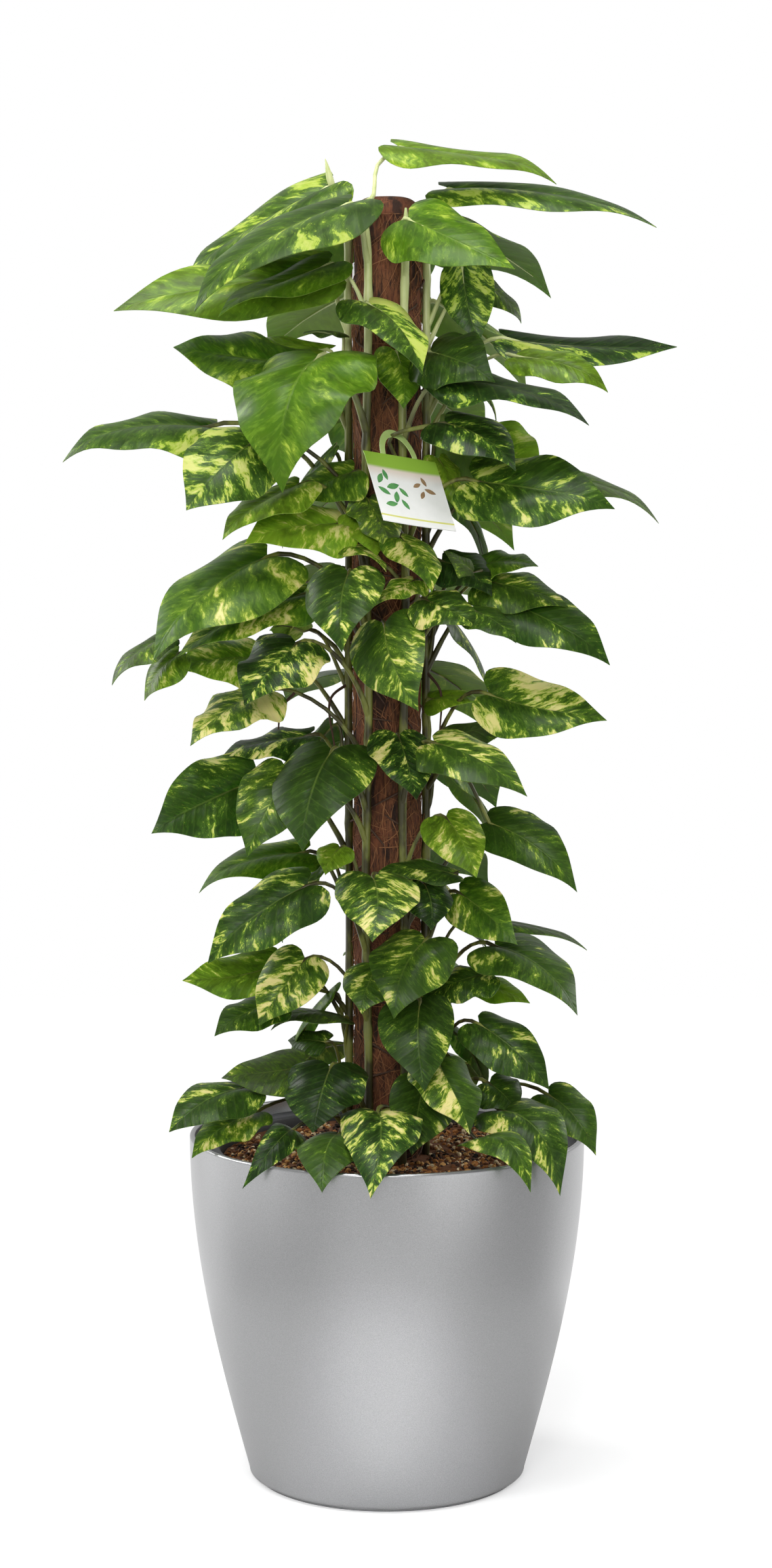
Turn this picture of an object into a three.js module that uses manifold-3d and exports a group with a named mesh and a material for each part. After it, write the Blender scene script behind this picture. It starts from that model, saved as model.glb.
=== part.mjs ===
// Potted golden pothos: a climbing aroid on a coir pole, in a round silver planter.
// Millimetres, +Z up, origin at the middle of the planter's flat underside.
// The side that is usually shown faces -Y, with +X to its right.
import * as THREE from 'three';
import { mergeVertices } from 'three/addons/utils/BufferGeometryUtils.js';
import Module from 'manifold-3d';

const wasm = await Module();
wasm.setup();

// Driving dimensions of the planter
const rimRadius = 216;
const planterHeight = 380;
const baseRadius = 150;
const footInset = 5;
const footHeight = 4;
const planterWall = 6;
const planterFloor = 6;
const rimRound = 3;
const ledgeHeight = 363;
const ledgeWidth = 9;

// Driving dimensions of the liner and the soil in it
const linerFlangeRadius = 208;
const linerTopRadius = 186;
const linerFloorRadius = 146;
const linerFloorHeight = 90;
const linerWall = 3;
const soilTop = 352;
const soilLump = 3;

// Driving dimensions of the pole
const poleTop = 1390;
const poleRadius = 36.6;
const poleRelief = 1.6;
const coreRadius = 14;

// Driving dimensions of the growth
const stemRadius = 5;
const stemBottom = 285;
const bladeThickness = 1.4;
const seatGap = 0.3;

const planterSides = 36;
const poleSides = 14;

// Closed-body helpers

// Joins a geometry's seams, drops its empty triangles and turns it outwards.
function solid(geometry) {
  const plain = geometry.clone();
  plain.deleteAttribute('normal');
  plain.deleteAttribute('uv');
  const joined = mergeVertices(plain, 1e-4);
  const points = joined.attributes.position.array;
  const corners = [];
  let volume = 0;
  const a = new THREE.Vector3();
  const b = new THREE.Vector3();
  const c = new THREE.Vector3();
  for (let i = 0; i < joined.index.count; i += 3) {
    const [p, q, r] = [0, 1, 2].map((step) => joined.index.getX(i + step));
    if (p === q || q === r || r === p) continue;
    corners.push(p, q, r);
    volume += a.fromArray(points, 3 * p).dot(b.fromArray(points, 3 * q).cross(c.fromArray(points, 3 * r)));
  }
  if (volume < 0) corners.reverse();
  return new wasm.Manifold(new wasm.Mesh({
    numProp: 3,
    vertProperties: new Float32Array(points),
    triVerts: new Uint32Array(corners),
  }));
}

// Turns a solid back into a flat-shaded geometry. Only its largest shell is kept, which fills the
// small hollows that crossing leaves seal and drops loose scraps.
function geometryOf(body) {
  const { vertProperties, triVerts } = body.getMesh();
  const parent = Array.from({ length: vertProperties.length / 3 }, (_, vertex) => vertex);
  const find = (vertex) => {
    let root = vertex;
    while (parent[root] !== root) {
      parent[root] = parent[parent[root]];
      root = parent[root];
    }
    return root;
  };
  for (let i = 0; i < triVerts.length; i += 3) {
    parent[find(triVerts[i + 1])] = find(triVerts[i]);
    parent[find(triVerts[i + 2])] = find(triVerts[i]);
  }
  const shells = new Map();
  for (let i = 0; i < triVerts.length; i += 3) {
    const shell = find(triVerts[i]);
    if (!shells.has(shell)) shells.set(shell, []);
    shells.get(shell).push(...triVerts.slice(i, i + 3));
  }
  const largest = [...shells.values()].sort((a, b) => b.length - a.length)[0];
  const geometry = new THREE.BufferGeometry();
  geometry.setAttribute('position', new THREE.BufferAttribute(Float32Array.from(vertProperties), 3));
  geometry.setIndex(largest);
  return mergeVertices(geometry);
}

// Spins [radius, height] points round the upright axis.
function turned(profile, sides) {
  const points = profile.map(([radius, height]) => new THREE.Vector2(radius, height));
  return new THREE.LatheGeometry(points, sides).rotateX(Math.PI / 2);
}

// A round bar along a curve, with few sides.
function bar(curve, radius, sides, steps) {
  const section = new THREE.Shape();
  for (let side = 0; side < sides; side += 1) {
    const angle = (2 * Math.PI * side) / sides;
    const corner = [radius * Math.cos(angle), radius * Math.sin(angle)];
    if (side === 0) section.moveTo(...corner);
    else section.lineTo(...corner);
  }
  section.closePath();
  return new THREE.ExtrudeGeometry(section, { steps, bevelEnabled: false, extrudePath: curve });
}

// An upright cutter from one height to another.
function upright(x, y, radius, low, high, sides) {
  const cylinder = new THREE.CylinderGeometry(radius, radius, high - low, sides);
  return cylinder.rotateX(Math.PI / 2).translate(x, y, (low + high) / 2);
}

// Planter: the outer curve bulges under the rim and tapers to the foot.
function planterRadius(height) {
  const share = height / planterHeight;
  return baseRadius + (rimRadius - baseRadius) * Math.sin((Math.PI / 2) * share);
}

function planter() {
  const outside = [0.02, 0.12, 0.25, 0.42, 0.62, 0.82, 0.965].map((share) => {
    const height = share * planterHeight;
    return [planterRadius(height), height];
  });
  const innerRim = rimRadius - planterWall;
  const ledgeInner = innerRim - ledgeWidth;
  const lowWall = planterRadius(60) - 2 * planterWall;
  return turned([
    [0, 0],
    [baseRadius - footInset, 0],
    [baseRadius - footInset, footHeight],
    ...outside,
    [rimRadius - rimRound, planterHeight],
    [innerRim, planterHeight - rimRound],
    [innerRim, ledgeHeight],
    [ledgeInner, ledgeHeight],
    [planterRadius(190) - 2 * planterWall, 190],
    [lowWall, 60],
    [baseRadius - 2 * planterWall, planterFloor + 6],
    [0, planterFloor],
  ], planterSides);
}

// Liner: a tapered grow pot whose flange lies on the planter's ledge.
function liner() {
  const flangeUnder = ledgeHeight + seatGap;
  const flangeTop = flangeUnder + linerWall;
  return turned([
    [0, linerFloorHeight],
    [linerFloorRadius, linerFloorHeight],
    [linerTopRadius, flangeUnder],
    [linerFlangeRadius, flangeUnder],
    [linerFlangeRadius, flangeTop],
    [linerTopRadius - linerWall, flangeTop],
    [linerFloorRadius - linerWall, linerFloorHeight + linerWall],
    [0, linerFloorHeight + linerWall],
  ], planterSides);
}

// Stems: each climbs the pole, a hand's breadth from the next.
function onPole(azimuth, distance) {
  const angle = THREE.MathUtils.degToRad(azimuth);
  return [distance * Math.sin(angle), -distance * Math.cos(angle)];
}

const stemDistance = poleRadius + seatGap + stemRadius + 0.5;
const stemSwing = 2.5;

function stemPoint(azimuth, height) {
  const sway = stemSwing * Math.sin(height / 67 + azimuth);
  const [x, y] = onPole(azimuth + sway, stemDistance + 0.4);
  return new THREE.Vector3(x, y, height);
}

function stem(azimuth, top) {
  const steps = 16;
  const points = [];
  for (let step = 0; step <= steps; step += 1) {
    points.push(stemPoint(azimuth, stemBottom + ((top - stemBottom) * step) / steps));
  }
  return bar(new THREE.CatmullRomCurve3(points), stemRadius, 5, steps);
}

// Blade: a heart with its lobes behind the petiole and a drip tip, given by half of its outline
// as [share of the length, share of the half width], with the midrib point that each belongs to.
const heartWide = [
  { rib: 0, edge: [-0.09, 0.34] },
  { rib: 0.09, edge: [0.02, 0.86] },
  { rib: 0.3, edge: [0.27, 1] },
  { rib: 0.58, edge: [0.58, 0.76] },
  { rib: 0.82, edge: [0.84, 0.24] },
  { rib: 1, edge: [1, 0] },
];
const heartSmall = [
  { rib: 0, edge: [-0.09, 0.4] },
  { rib: 0.2, edge: [0.12, 0.98] },
  { rib: 0.5, edge: [0.5, 0.84] },
  { rib: 0.8, edge: [0.82, 0.27] },
  { rib: 1, edge: [1, 0] },
];
const edgeDroop = 0.11;
const edgeWave = 0.02;
const largeBlade = 150;

// The directions of a blade: along its midrib, across it and out of its upper face.
// face turns the upper face from level towards the viewer in front, in degrees.
function bladeAxes(base, tip, face) {
  const along = tip.clone().sub(base);
  const length = along.length();
  along.normalize();
  const upper = new THREE.Vector3(0, 0, 1).addScaledVector(along, -along.z).normalize();
  const turn = THREE.MathUtils.degToRad(face) * (along.x < 0 ? -1 : 1);
  upper.applyAxisAngle(along, turn);
  const across = upper.clone().cross(along);
  return { along, across, upper, length };
}

// One leaf as one closed body: the blade's two faces, its rim, and a three-sided petiole that
// grows out of the notch and ends inside the stem.
function leafBody(leaf, azimuth) {
  const base = new THREE.Vector3(...leaf.base);
  const tip = new THREE.Vector3(...leaf.tip);
  const { along, across, upper, length } = bladeAxes(base, tip, leaf.face);
  const rows = length > largeBlade ? heartWide : heartSmall;
  const half = leaf.width / 2;
  const points = [];
  const put = (s, w, lift) => points.push(base.clone()
    .addScaledVector(along, s * length)
    .addScaledVector(across, w * half)
    .addScaledVector(upper, lift));
  for (const skin of [0.5, -0.5]) {
    rows.forEach((row, number) => {
      for (const side of [-1, 0, 1]) {
        const [s, w] = side === 0 ? [row.rib, 0] : row.edge;
        const bow = leaf.arch * length * 4 * s * (1 - s);
        const wave = (number % 2 ? edgeWave : -edgeWave) * leaf.width * side * w;
        put(s, side * w, bow - edgeDroop * leaf.width * w * w + wave + skin * bladeThickness);
      }
    });
  }
  const count = rows.length * 3;
  const faces = [];
  const quad = (a, b, c, d) => faces.push(a, b, c, a, c, d);
  for (let row = 0; row < rows.length - 1; row += 1) {
    const at = row * 3;
    quad(at + 1, at + 2, at + 5, at + 4);
    quad(at + 4, at + 3, at, at + 1);
    quad(at + 1 + count, at + 4 + count, at + 5 + count, at + 2 + count);
    quad(at + 4 + count, at + 1 + count, at + count, at + 3 + count);
    quad(at + 2, at + 2 + count, at + 5 + count, at + 5);
    quad(at + 3, at + 3 + count, at + count, at);
  }

  // The notch opens in a triangle: two corners above, beside the midrib, and one below.
  const radius = petioleRadius(leaf);
  const curve = petioleCurve(leaf, azimuth);
  const left = points.length;
  const right = left + 1;
  const under = 1 + count;
  put(0, -radius / half, bladeThickness / 2);
  put(0, radius / half, bladeThickness / 2);
  faces.push(left, right, 4);
  for (let i = 0; i < faces.length - 3; i += 1) {
    if (faces[i] !== 1) continue;
    const first = i - (i % 3);
    faces[i] = [0, 3].some((near) => faces.slice(first, first + 3).includes(near)) ? left : right;
  }
  quad(0, count, under, left);
  quad(right, under, 2 + count, 2);
  let ring = [left, under, right];
  let reach = across.clone();
  for (let step = petioleSteps - 1; step >= 0; step -= 1) {
    const share = step / petioleSteps;
    const centre = curve.getPoint(share);
    const tangent = curve.getTangent(share);
    reach = reach.addScaledVector(tangent, -reach.dot(tangent)).normalize();
    const down = reach.clone().cross(tangent);
    const next = [[-1, 0.5], [0, -1], [1, 0.5]].map(([u, v]) => {
      points.push(centre.clone().addScaledVector(reach, u * radius).addScaledVector(down, -v * radius));
      return points.length - 1;
    });
    for (const corner of [0, 1, 2]) {
      const other = (corner + 1) % 3;
      quad(ring[corner], ring[other], next[other], next[corner]);
    }
    ring = next;
  }
  faces.push(...ring);
  const geometry = new THREE.BufferGeometry();
  geometry.setAttribute('position', new THREE.Float32BufferAttribute(points.flatMap((p) => p.toArray()), 3));
  geometry.setIndex(faces);
  return geometry;
}

// Petiole: leaves the stem below the blade, rises outwards and arches over into the blade's notch.
const petioleSteps = 3;

function petioleCurve(leaf, azimuth) {
  const base = new THREE.Vector3(...leaf.base);
  const tip = new THREE.Vector3(...leaf.tip);
  const reach = Math.hypot(base.x, base.y);
  const rise = leaf.rise ?? 35 + 0.35 * reach;
  const node = stemPoint(azimuth, Math.max(base.z - rise, soilTop + 20));
  if (leaf.by) {
    const [low, high] = leaf.by.map((point) => new THREE.Vector3(...point));
    return new THREE.CatmullRomCurve3([node, low, high, base]);
  }
  const along = tip.clone().sub(base).setZ(0).normalize();
  const span = base.distanceTo(node);
  const out = new THREE.Vector3(node.x, node.y, 0).normalize();
  const leave = node.clone().addScaledVector(out, 0.22 * span);
  leave.z += 0.45 * span;
  const arrive = base.clone().addScaledVector(along, -0.28 * span);
  arrive.z += 0.1 * span;
  return new THREE.CubicBezierCurve3(node, leave, arrive, base);
}

function petioleRadius(leaf) {
  return 1.5 + leaf.width / 100;
}

// Thread: an aerial root or a rolled leaf, from inside the stem or a petiole.
function thread(points) {
  return bar(new THREE.CatmullRomCurve3(points.map((p) => new THREE.Vector3(...p))), 2.2, 4, 4);
}

// Leaves seen from the front: base and tip of the blade, its width, how far its upper face is
// turned to the viewer, the arch of its midrib as a share of its length and, where the petiole
// doesn't keep to the rule, how far below the blade it leaves the stem and two points it passes.
// The threads are aerial roots and, at the top left, a new leaf that is still rolled up.
const vines = {
  vine_front_right: { azimuth: 25, top: 1376, leaves: [
    [[22, -68, 1362], [124, -161, 1299], 88, 46, 0.1],
    [[-20, -79, 1274], [39, -177, 1200], 76, 6, 0.08],
    [[10, -50, 1225], [20, -80, 1165], 50, 0, 0.06],
    [[67, -77, 1194], [208, -150, 1153], 93, 18, 0.06],
    [[60, -95, 1150], [135, -140, 1105], 85, 28, 0.08, 65, [[10, -50, 1112], [5, -66, 1137]]],
    [[-20, -60, 1070], [5, -85, 1015], 60, 0, 0.06],
    [[55, -35, 1112], [80, -52, 1050], 50, 10, 0.05],
    [[92, -82, 1090], [230, -150, 1065], 98, 46, 0.05],
    [[-42, -72, 1022], [0, -112, 1000], 55, 0, 0.06],
    [[14, -68, 1030], [52, -120, 980], 60, 0, 0.06],
    [[-3, -99, 941], [24, -171, 856], 82, 30, 0.07],
    [[28, -72, 985], [-12, -105, 962], 46, 20, 0.06],
    [[42, -88, 965], [92, -128, 940], 66, 30, 0.06],
    [[90, -100, 955], [135, -140, 925], 50, 20, 0.06],
    [[12, -80, 822], [30, -140, 760], 68, 0, 0.06],
    [[50, -92, 815], [145, -158, 765], 80, 30, 0.1],
    [[-15, -110, 675], [-10, -190, 620], 88, 0, 0.08],
    [[62, -82, 735], [96, -132, 679], 62, 26, 0.07],
    [[71, -61, 672], [-19, -73, 671], 37, 26, 0.09],
    [[40, -70, 662], [50, -110, 620], 56, 0, 0.06],
    [[41, -90, 605], [2, -147, 535], 87, 15, 0.12],
    [[35, -100, 540], [35, -165, 460], 80, 0, 0.08],
    [[55, -110, 475], [85, -165, 415], 75, 0, 0.08],
    [[-10, -115, 425], [-10, -245, 365], 85, 0, 0.15],
    [[40, -95, 455], [25, -160, 390], 72, 10, 0.08],
  ], threads: [] },
  vine_front_left: { azimuth: -30, top: 1362, leaves: [
    [[14, -14, 1442], [176, -65, 1412], 76, 16, 0.02, 60, [[-14, -38, 1390], [-10, -20, 1422]]],
    [[-42, -60, 1378], [-200, -150, 1273], 116, 14, 0.07],
    [[-63, -40, 1317], [-175, -148, 1272], 66, 23, -0.03],
    [[-70, -99, 1219], [-109, -186, 1084], 146, 0, 0.21],
    [[-140, -100, 1130], [-205, -155, 1060], 100, 35, 0.1],
    [[-92, -92, 1086], [-170, -145, 1035], 80, 10, 0.06],
    [[-50, -70, 1045], [-145, -130, 1030], 85, 35, 0.06],
    [[-35, -55, 1100], [-95, -70, 1070], 75, 30, 0.06],
    [[-40, -115, 995], [-50, -195, 922], 82, 0, 0.08],
    [[-32, -58, 1050], [-8, -88, 1012], 55, 0, 0.06],
    [[-127, -64, 1010], [-244, -141, 913], 126, 27, 0.11],
    [[-90, -55, 970], [-220, -125, 910], 85, 25, 0.05],
    [[-95, -95, 920], [-145, -150, 860], 95, 15, 0.08],
    [[-137, -68, 867], [-203, -126, 819], 90, 14, 0.08],
    [[-58, -88, 807], [-91, -176, 713], 107, 4, 0.09],
    [[-105, -85, 785], [-145, -150, 705], 80, 20, 0.06],
    [[-85, -105, 665], [-192, -133, 593], 77, 43, 0.04],
    [[-50, -60, 700], [-68, -80, 676], 40, 20, 0.06],
    [[-87, -80, 583], [-133, -112, 517], 69, 34, 0.14],
    [[-12, -85, 575], [-28, -125, 535], 65, 0, 0.06],
    [[-60, -85, 468], [-78, -150, 410], 90, 0, 0.06],
    [[-100, -112, 405], [-147, -183, 357], 38, 32, 0.3],
    [[-50, -130, 405], [-70, -228, 365], 75, 0, 0.14],
  ], threads: [
    [[-98, -71, 866], [-112, -78, 850], [-115, -78, 828]],
  ] },
  vine_right: { azimuth: 100, top: 1385, leaves: [
    [[71, -5, 1398], [283, -63, 1360], 89, 20, 0.05],
    [[80, -15, 1315], [95, -35, 1235], 58, 45, 0.04],
    [[102, 16, 1302], [149, 24, 1264], 46, 37, 0.02],
    [[45, -60, 1225], [105, -130, 1195], 82, 40, 0.1],
    [[134, -19, 1239], [306, -46, 1230], 85, 22, -0.02],
    [[140, -51, 1220], [232, -87, 1189], 54, 32, 0.07],
    [[145, -30, 1095], [290, -70, 1060], 65, 25, 0.06],
    [[60, -16, 1140], [130, -38, 1095], 75, -50, 0.04],
    [[110, 20, 1135], [165, -5, 1100], 80, 50, 0.05],
    [[58, -45, 1005], [112, -85, 975], 66, 30, 0.06],
    [[95, -30, 1000], [160, -60, 1000], 72, 30, 0.08],
    [[92, -68, 993], [60, -62, 1017], 34, 30, 0.04],
    [[105, -50, 984], [190, -85, 958], 75, 35, 0.06],
    [[120, -60, 965], [230, -125, 905], 84, 32, 0.08],
    [[109, -60, 864], [227, -104, 840], 83, 51, 0.01],
    [[48, -5, 855], [103, -14, 853], 49, 30, 0.11],
    [[66, 4, 812], [138, 22, 822], 60, 20, 0.06],
    [[110, -46, 725], [204, -101, 666], 65, 42, 0.08, -30, [[66, -20, 790], [82, -42, 780]]],
    [[140, 0, 720], [200, -30, 670], 60, 35, 0.06],
    [[78, -44, 649], [138, -105, 605], 61, 54, 0.07],
    [[95, 20, 610], [220, 10, 585], 45, -5, 0.05],
    [[116, -45, 592], [203, -122, 536], 89, 20, 0.12],
    [[105, -40, 560], [32, -74, 535], 56, 25, 0.05],
    [[95, 0, 545], [155, -20, 525], 45, 25, 0.05],
    [[99, -64, 510], [173, -113, 451], 65, 30, 0.07],
    [[174, -53, 431], [225, -110, 384], 55, 33, 0.08],
    [[121, -86, 421], [188, -151, 352], 75, 24, 0.24],
    [[95, -130, 398], [150, -200, 360], 50, 5, 0.28],
    [[110, -60, 445], [140, -90, 420], 55, 30, 0.06],
  ], threads: [
    [[42, 7, 885], [58, -8, 862], [57, -12, 820]],
  ] },
  vine_left: { azimuth: -105, top: 1380, leaves: [
    [[-65, 14, 1402], [-222, -24, 1302], 108, 20, 0.04],
    [[-74, -24, 1310], [-284, -91, 1270], 97, 40, 0.02],
    [[-95, -36, 1214], [-226, -45, 1227], 111, 30, 0.02],
    [[-70, 25, 1230], [-160, 45, 1240], 75, 18, 0.05],
    [[-52, -12, 1245], [-88, -40, 1246], 42, 5, 0.05],
    [[-191, -27, 1147], [-342, -67, 1122], 105, 25, 0.09],
    [[-236, -64, 924], [-292, -84, 878], 67, 11, 0.1, 20],
    [[-222, -52, 907], [-260, -51, 858], 55, 40, 0.08, 20],
    [[-140, -9, 900], [-225, -49, 892], 80, 40, 0.06],
    [[-90, -30, 930], [-125, -50, 935], 45, -30, 0.1],
    [[-85, -36, 818], [-182, -47, 800], 82, 20, 0.02],
    [[-144, -70, 772], [-243, -142, 732], 93, 55, -0.02],
    [[-91, -2, 688], [-206, -28, 660], 79, 27, 0.05],
    [[-123, -33, 568], [-216, -79, 559], 56, 47, -0.04],
    [[-120, -50, 530], [-185, -90, 505], 60, 20, 0.06, 25],
    [[-48, -17, 509], [-126, -54, 510], 40, 10, 0.09],
    [[-94, -60, 463], [-177, -72, 453], 65, 38, 0.02],
    [[-153, -65, 441], [-231, -123, 406], 72, 13, 0.1],
    [[-142, -64, 414], [-208, -116, 380], 57, 9, 0.07],
    [[-68, -22, 483], [-109, 0, 480], 40, 31, 0.07],
  ], threads: [
    [[-41, 11, 872], [-62, -8, 852], [-56, -16, 800]],
    [[-41, 11, 1370], [-58, 14, 1402], [-66, 12, 1432]],
  ] },
  vine_back: { azimuth: 180, top: 1380, leaves: [], threads: [] },
};

// Leaves behind the pole, placed by rule in tiers, with small seeded differences. Each tier has
// its height, how many leaves, the azimuth of its middle and the step from leaf to leaf.
const backTiers = [
  [1370, 3, 180, 38],
  [1290, 3, 176, 38],
  [1185, 3, 188, 38],
  [1090, 3, 172, 38],
  [990, 3, 180, 38],
  [890, 3, 176, 38],
  [790, 3, 176, 38],
  [680, 3, 180, 38],
  [570, 2, 172, 38],
  [465, 3, 176, 38],
];
const backShort = 112;
const backLong = 175;

function seededDraws(seed) {
  let state = seed;
  return (low, high) => {
    state = (state * 16807) % 2147483647;
    return low + ((high - low) * state) / 2147483647;
  };
}

function backLeaves() {
  const draw = seededDraws(1832);
  const leaves = [];
  for (const [level, count, middle, step] of backTiers) {
    const share = (level - 455) / 930;
    for (let place = 0; place < count; place += 1) {
      const azimuth = middle + step * (place - (count - 1) / 2) + draw(-5, 5);
      const reach = draw(62, 76) + 14 * share;
      const length = backShort + (backLong - backShort) * share + draw(-10, 10);
      const droop = THREE.MathUtils.degToRad(draw(14, 32));
      const height = level + draw(-9, 9);
      const [bx, by] = onPole(azimuth, reach);
      const [tx, ty] = onPole(azimuth + draw(-4, 4), reach + length * Math.cos(droop));
      const face = draw(-24, 10);
      const tip = [tx, ty, height - length * Math.sin(droop)];
      leaves.push([[bx, by, height], tip, length * draw(0.58, 0.66), face, 0.07]);
    }
  }
  return leaves;
}

vines.vine_back.leaves = backLeaves();

// Leaves at each side of the pole, hung one above the other by rule: short, steep and close to the
// stem, so that the pole is dressed from the side as well.
const sideStep = 150;
const sideTurn = 12;

function sideLeaves(azimuth, seed, count, top) {
  const draw = seededDraws(seed);
  const leaves = [];
  for (let place = 0; place < count; place += 1) {
    const height = top - sideStep * place + draw(-10, 10);
    const turned = azimuth + (place % 2 === 0 ? -sideTurn : sideTurn) + draw(-4, 4);
    const reach = draw(60, 68);
    const length = draw(96, 118);
    const droop = THREE.MathUtils.degToRad(draw(54, 66));
    const [bx, by] = onPole(turned, reach);
    const [tx, ty] = onPole(turned + draw(-8, 8), reach + length * Math.cos(droop));
    const face = draw(-14, 14);
    const tip = [tx, ty, height - length * Math.sin(droop)];
    leaves.push([[bx, by, height], tip, length * draw(0.62, 0.72), face, 0.09]);
  }
  return leaves;
}

vines.vine_right.leaves.push(...sideLeaves(94, 186, 6, 1240));
vines.vine_left.leaves.push(...sideLeaves(-94, 63, 5, 1130));

function vine(name) {
  const { azimuth, top, leaves, threads } = vines[name];
  let body = solid(stem(azimuth, top));
  for (const [base, tip, width, face, arch, rise, by] of leaves) {
    body = body.add(solid(leafBody({ base, tip, width, face, arch, rise, by }, azimuth)));
  }
  for (const points of threads) body = body.add(solid(thread(points)));
  return body;
}

// Soil: fills the liner, lumpy on top, with plain holes for the pole and the stems.
function soil() {
  const low = linerFloorHeight + linerWall + seatGap;
  const innerAt = (height) => {
    const share = (height - linerFloorHeight - linerWall) / (ledgeHeight - linerFloorHeight);
    return linerFloorRadius - linerWall + (linerTopRadius - linerFloorRadius) * share - 1;
  };
  const rings = [0.86, 0.66, 0.46, 0.3];
  const edge = innerAt(soilTop);
  const ground = turned([
    [0, low],
    [innerAt(low), low],
    [edge, soilTop],
    ...rings.map((share) => [edge * share, soilTop + 1]),
    [0, soilTop + 1],
  ], 24);
  const place = ground.attributes.position;
  for (let i = 0; i < place.count; i += 1) {
    const [x, y, z] = [place.getX(i), place.getY(i), place.getZ(i)];
    const lump = soilLump * Math.sin(x / 23 + 1.3) * Math.cos(y / 19);
    if (z > soilTop + 0.5) place.setZ(i, z + lump);
  }
  let body = solid(ground);
  body = body.subtract(solid(upright(0, 0, poleRadius + 1.2, low - 5, soilTop + 20, 18)));
  for (const { azimuth } of Object.values(vines)) {
    const [x, y] = onPole(azimuth, stemDistance + 0.4);
    body = body.subtract(solid(upright(x, y, stemRadius + 2.5, stemBottom - 5, soilTop + 20, 6)));
  }
  return body;
}

// Coir pole: a fibrous sleeve with a rounded top, open below round its wooden core.
function poleSkin(height, angle) {
  const winding = Math.sin(3 * angle + height / 31) + Math.sin(5 * angle - height / 47 + 2);
  return poleRadius - poleRelief * (0.5 + 0.25 * winding);
}

function coirPole() {
  const low = linerFloorHeight + linerWall + seatGap;
  const rings = 18;
  const wall = [];
  for (let ring = 0; ring <= rings; ring += 1) {
    wall.push([poleRadius, low + ((poleTop - 18 - low) * ring) / rings]);
  }
  const bore = coreRadius + seatGap;
  const sleeve = turned([
    [bore, low],
    ...wall,
    [poleRadius - 6, poleTop - 7],
    [poleRadius - 18, poleTop],
    [0, poleTop],
    [0, poleTop - 40],
    [bore, poleTop - 40],
    [bore, low],
  ], poleSides);
  const place = sleeve.attributes.position;
  for (let i = 0; i < place.count; i += 1) {
    const [x, y, z] = [place.getX(i), place.getY(i), place.getZ(i)];
    const out = Math.hypot(x, y);
    if (out < coreRadius + 8) continue;
    const scale = poleSkin(z, Math.atan2(y, x)) / poleRadius;
    place.setXY(i, x * scale, y * scale);
  }
  return sleeve;
}

function poleCore() {
  const low = linerFloorHeight + linerWall + seatGap;
  return upright(0, 0, coreRadius, low, poleTop - 41, poleSides);
}

// Tag: a card with a moulded loop, hung over a petiole.
const cardWidth = 91;
const cardHeight = 90;
const loopWidth = 46;
const loopHeight = 36;
const loopBand = 6;
const tagThickness = 1;
const tagPlace = [12.5, -80, 1114.6];
const tagAcross = [75, 49, -12];
const tagDown = [22, -49, -72];

function tag() {
  const card = new THREE.Shape();
  card.moveTo(-cardWidth / 2, -cardHeight);
  card.lineTo(cardWidth / 2, -cardHeight);
  card.lineTo(cardWidth / 2, 0);
  card.lineTo(loopWidth / 2, 0);
  card.absellipse(0, 0, loopWidth / 2, loopHeight, 0, Math.PI, false);
  card.lineTo(-cardWidth / 2, 0);
  card.closePath();
  const opening = new THREE.Path();
  opening.moveTo(loopWidth / 2 - loopBand, 2);
  opening.absellipse(0, 2, loopWidth / 2 - loopBand, loopHeight - loopBand - 2, 0, Math.PI, false);
  opening.closePath();
  card.holes.push(opening);

  // The card hangs askew: its right edge turned away, its foot pushed forward by the leaves.
  const across = new THREE.Vector3(...tagAcross).normalize();
  const up = new THREE.Vector3(...tagDown).negate();
  up.addScaledVector(across, -up.dot(across)).normalize();
  const front = across.clone().cross(up);
  return new THREE.ExtrudeGeometry(card, { depth: tagThickness, bevelEnabled: false, curveSegments: 8 })
    .applyMatrix4(new THREE.Matrix4().makeBasis(across, up, front).setPosition(...tagPlace));
}

// The finished object
const finishes = {
  planter: { color: 0xb9bbbd, roughness: 0.38, metalness: 0.7 },
  liner: { color: 0x45474b, roughness: 0.6, metalness: 0 },
  soil: { color: 0x3a2415, roughness: 1, metalness: 0 },
  coir_pole: { color: 0x7a4527, roughness: 1, metalness: 0 },
  pole_core: { color: 0xb08a58, roughness: 0.8, metalness: 0 },
  tag: { color: 0xf3f3ea, roughness: 0.5, metalness: 0 },
  leaf: { color: 0x3f7a2a, roughness: 0.45, metalness: 0 },
};

const plant = new THREE.Group();

function addPiece(name, geometry, finish) {
  const material = new THREE.MeshStandardMaterial({ ...finishes[finish], flatShading: true });
  const mesh = new THREE.Mesh(geometry, material);
  mesh.name = name;
  plant.add(mesh);
}

addPiece('planter', geometryOf(solid(planter())), 'planter');
addPiece('liner', geometryOf(solid(liner())), 'liner');
addPiece('soil', geometryOf(soil()), 'soil');
addPiece('coir_pole', geometryOf(solid(coirPole())), 'coir_pole');
addPiece('pole_core', geometryOf(solid(poleCore())), 'pole_core');
addPiece('tag', geometryOf(solid(tag())), 'tag');
for (const name of Object.keys(vines)) addPiece(name, geometryOf(vine(name)), 'leaf');

export default plant;
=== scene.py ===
# %% [markdown]
# # A potted golden pothos on a coir pole
#
# The plant climbs a pole of coconut fibre, and the pole stands in a round silver planter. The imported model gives
# every piece its place and size, so this lesson only adds what a maker would add last: thin glossy leaves with their
# veins and yellow streaks, fibre on the pole, granules on the soil and a satin finish on the planter.
#
# The plant's lengths are typed in millimetres and turned into metres with MM. Camera, floor and lamps are in metres.

# %% Load the frame
import math
import random
from collections import namedtuple

import bmesh
import bpy
import numpy as np
from mathutils import Matrix, Vector, noise


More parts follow.
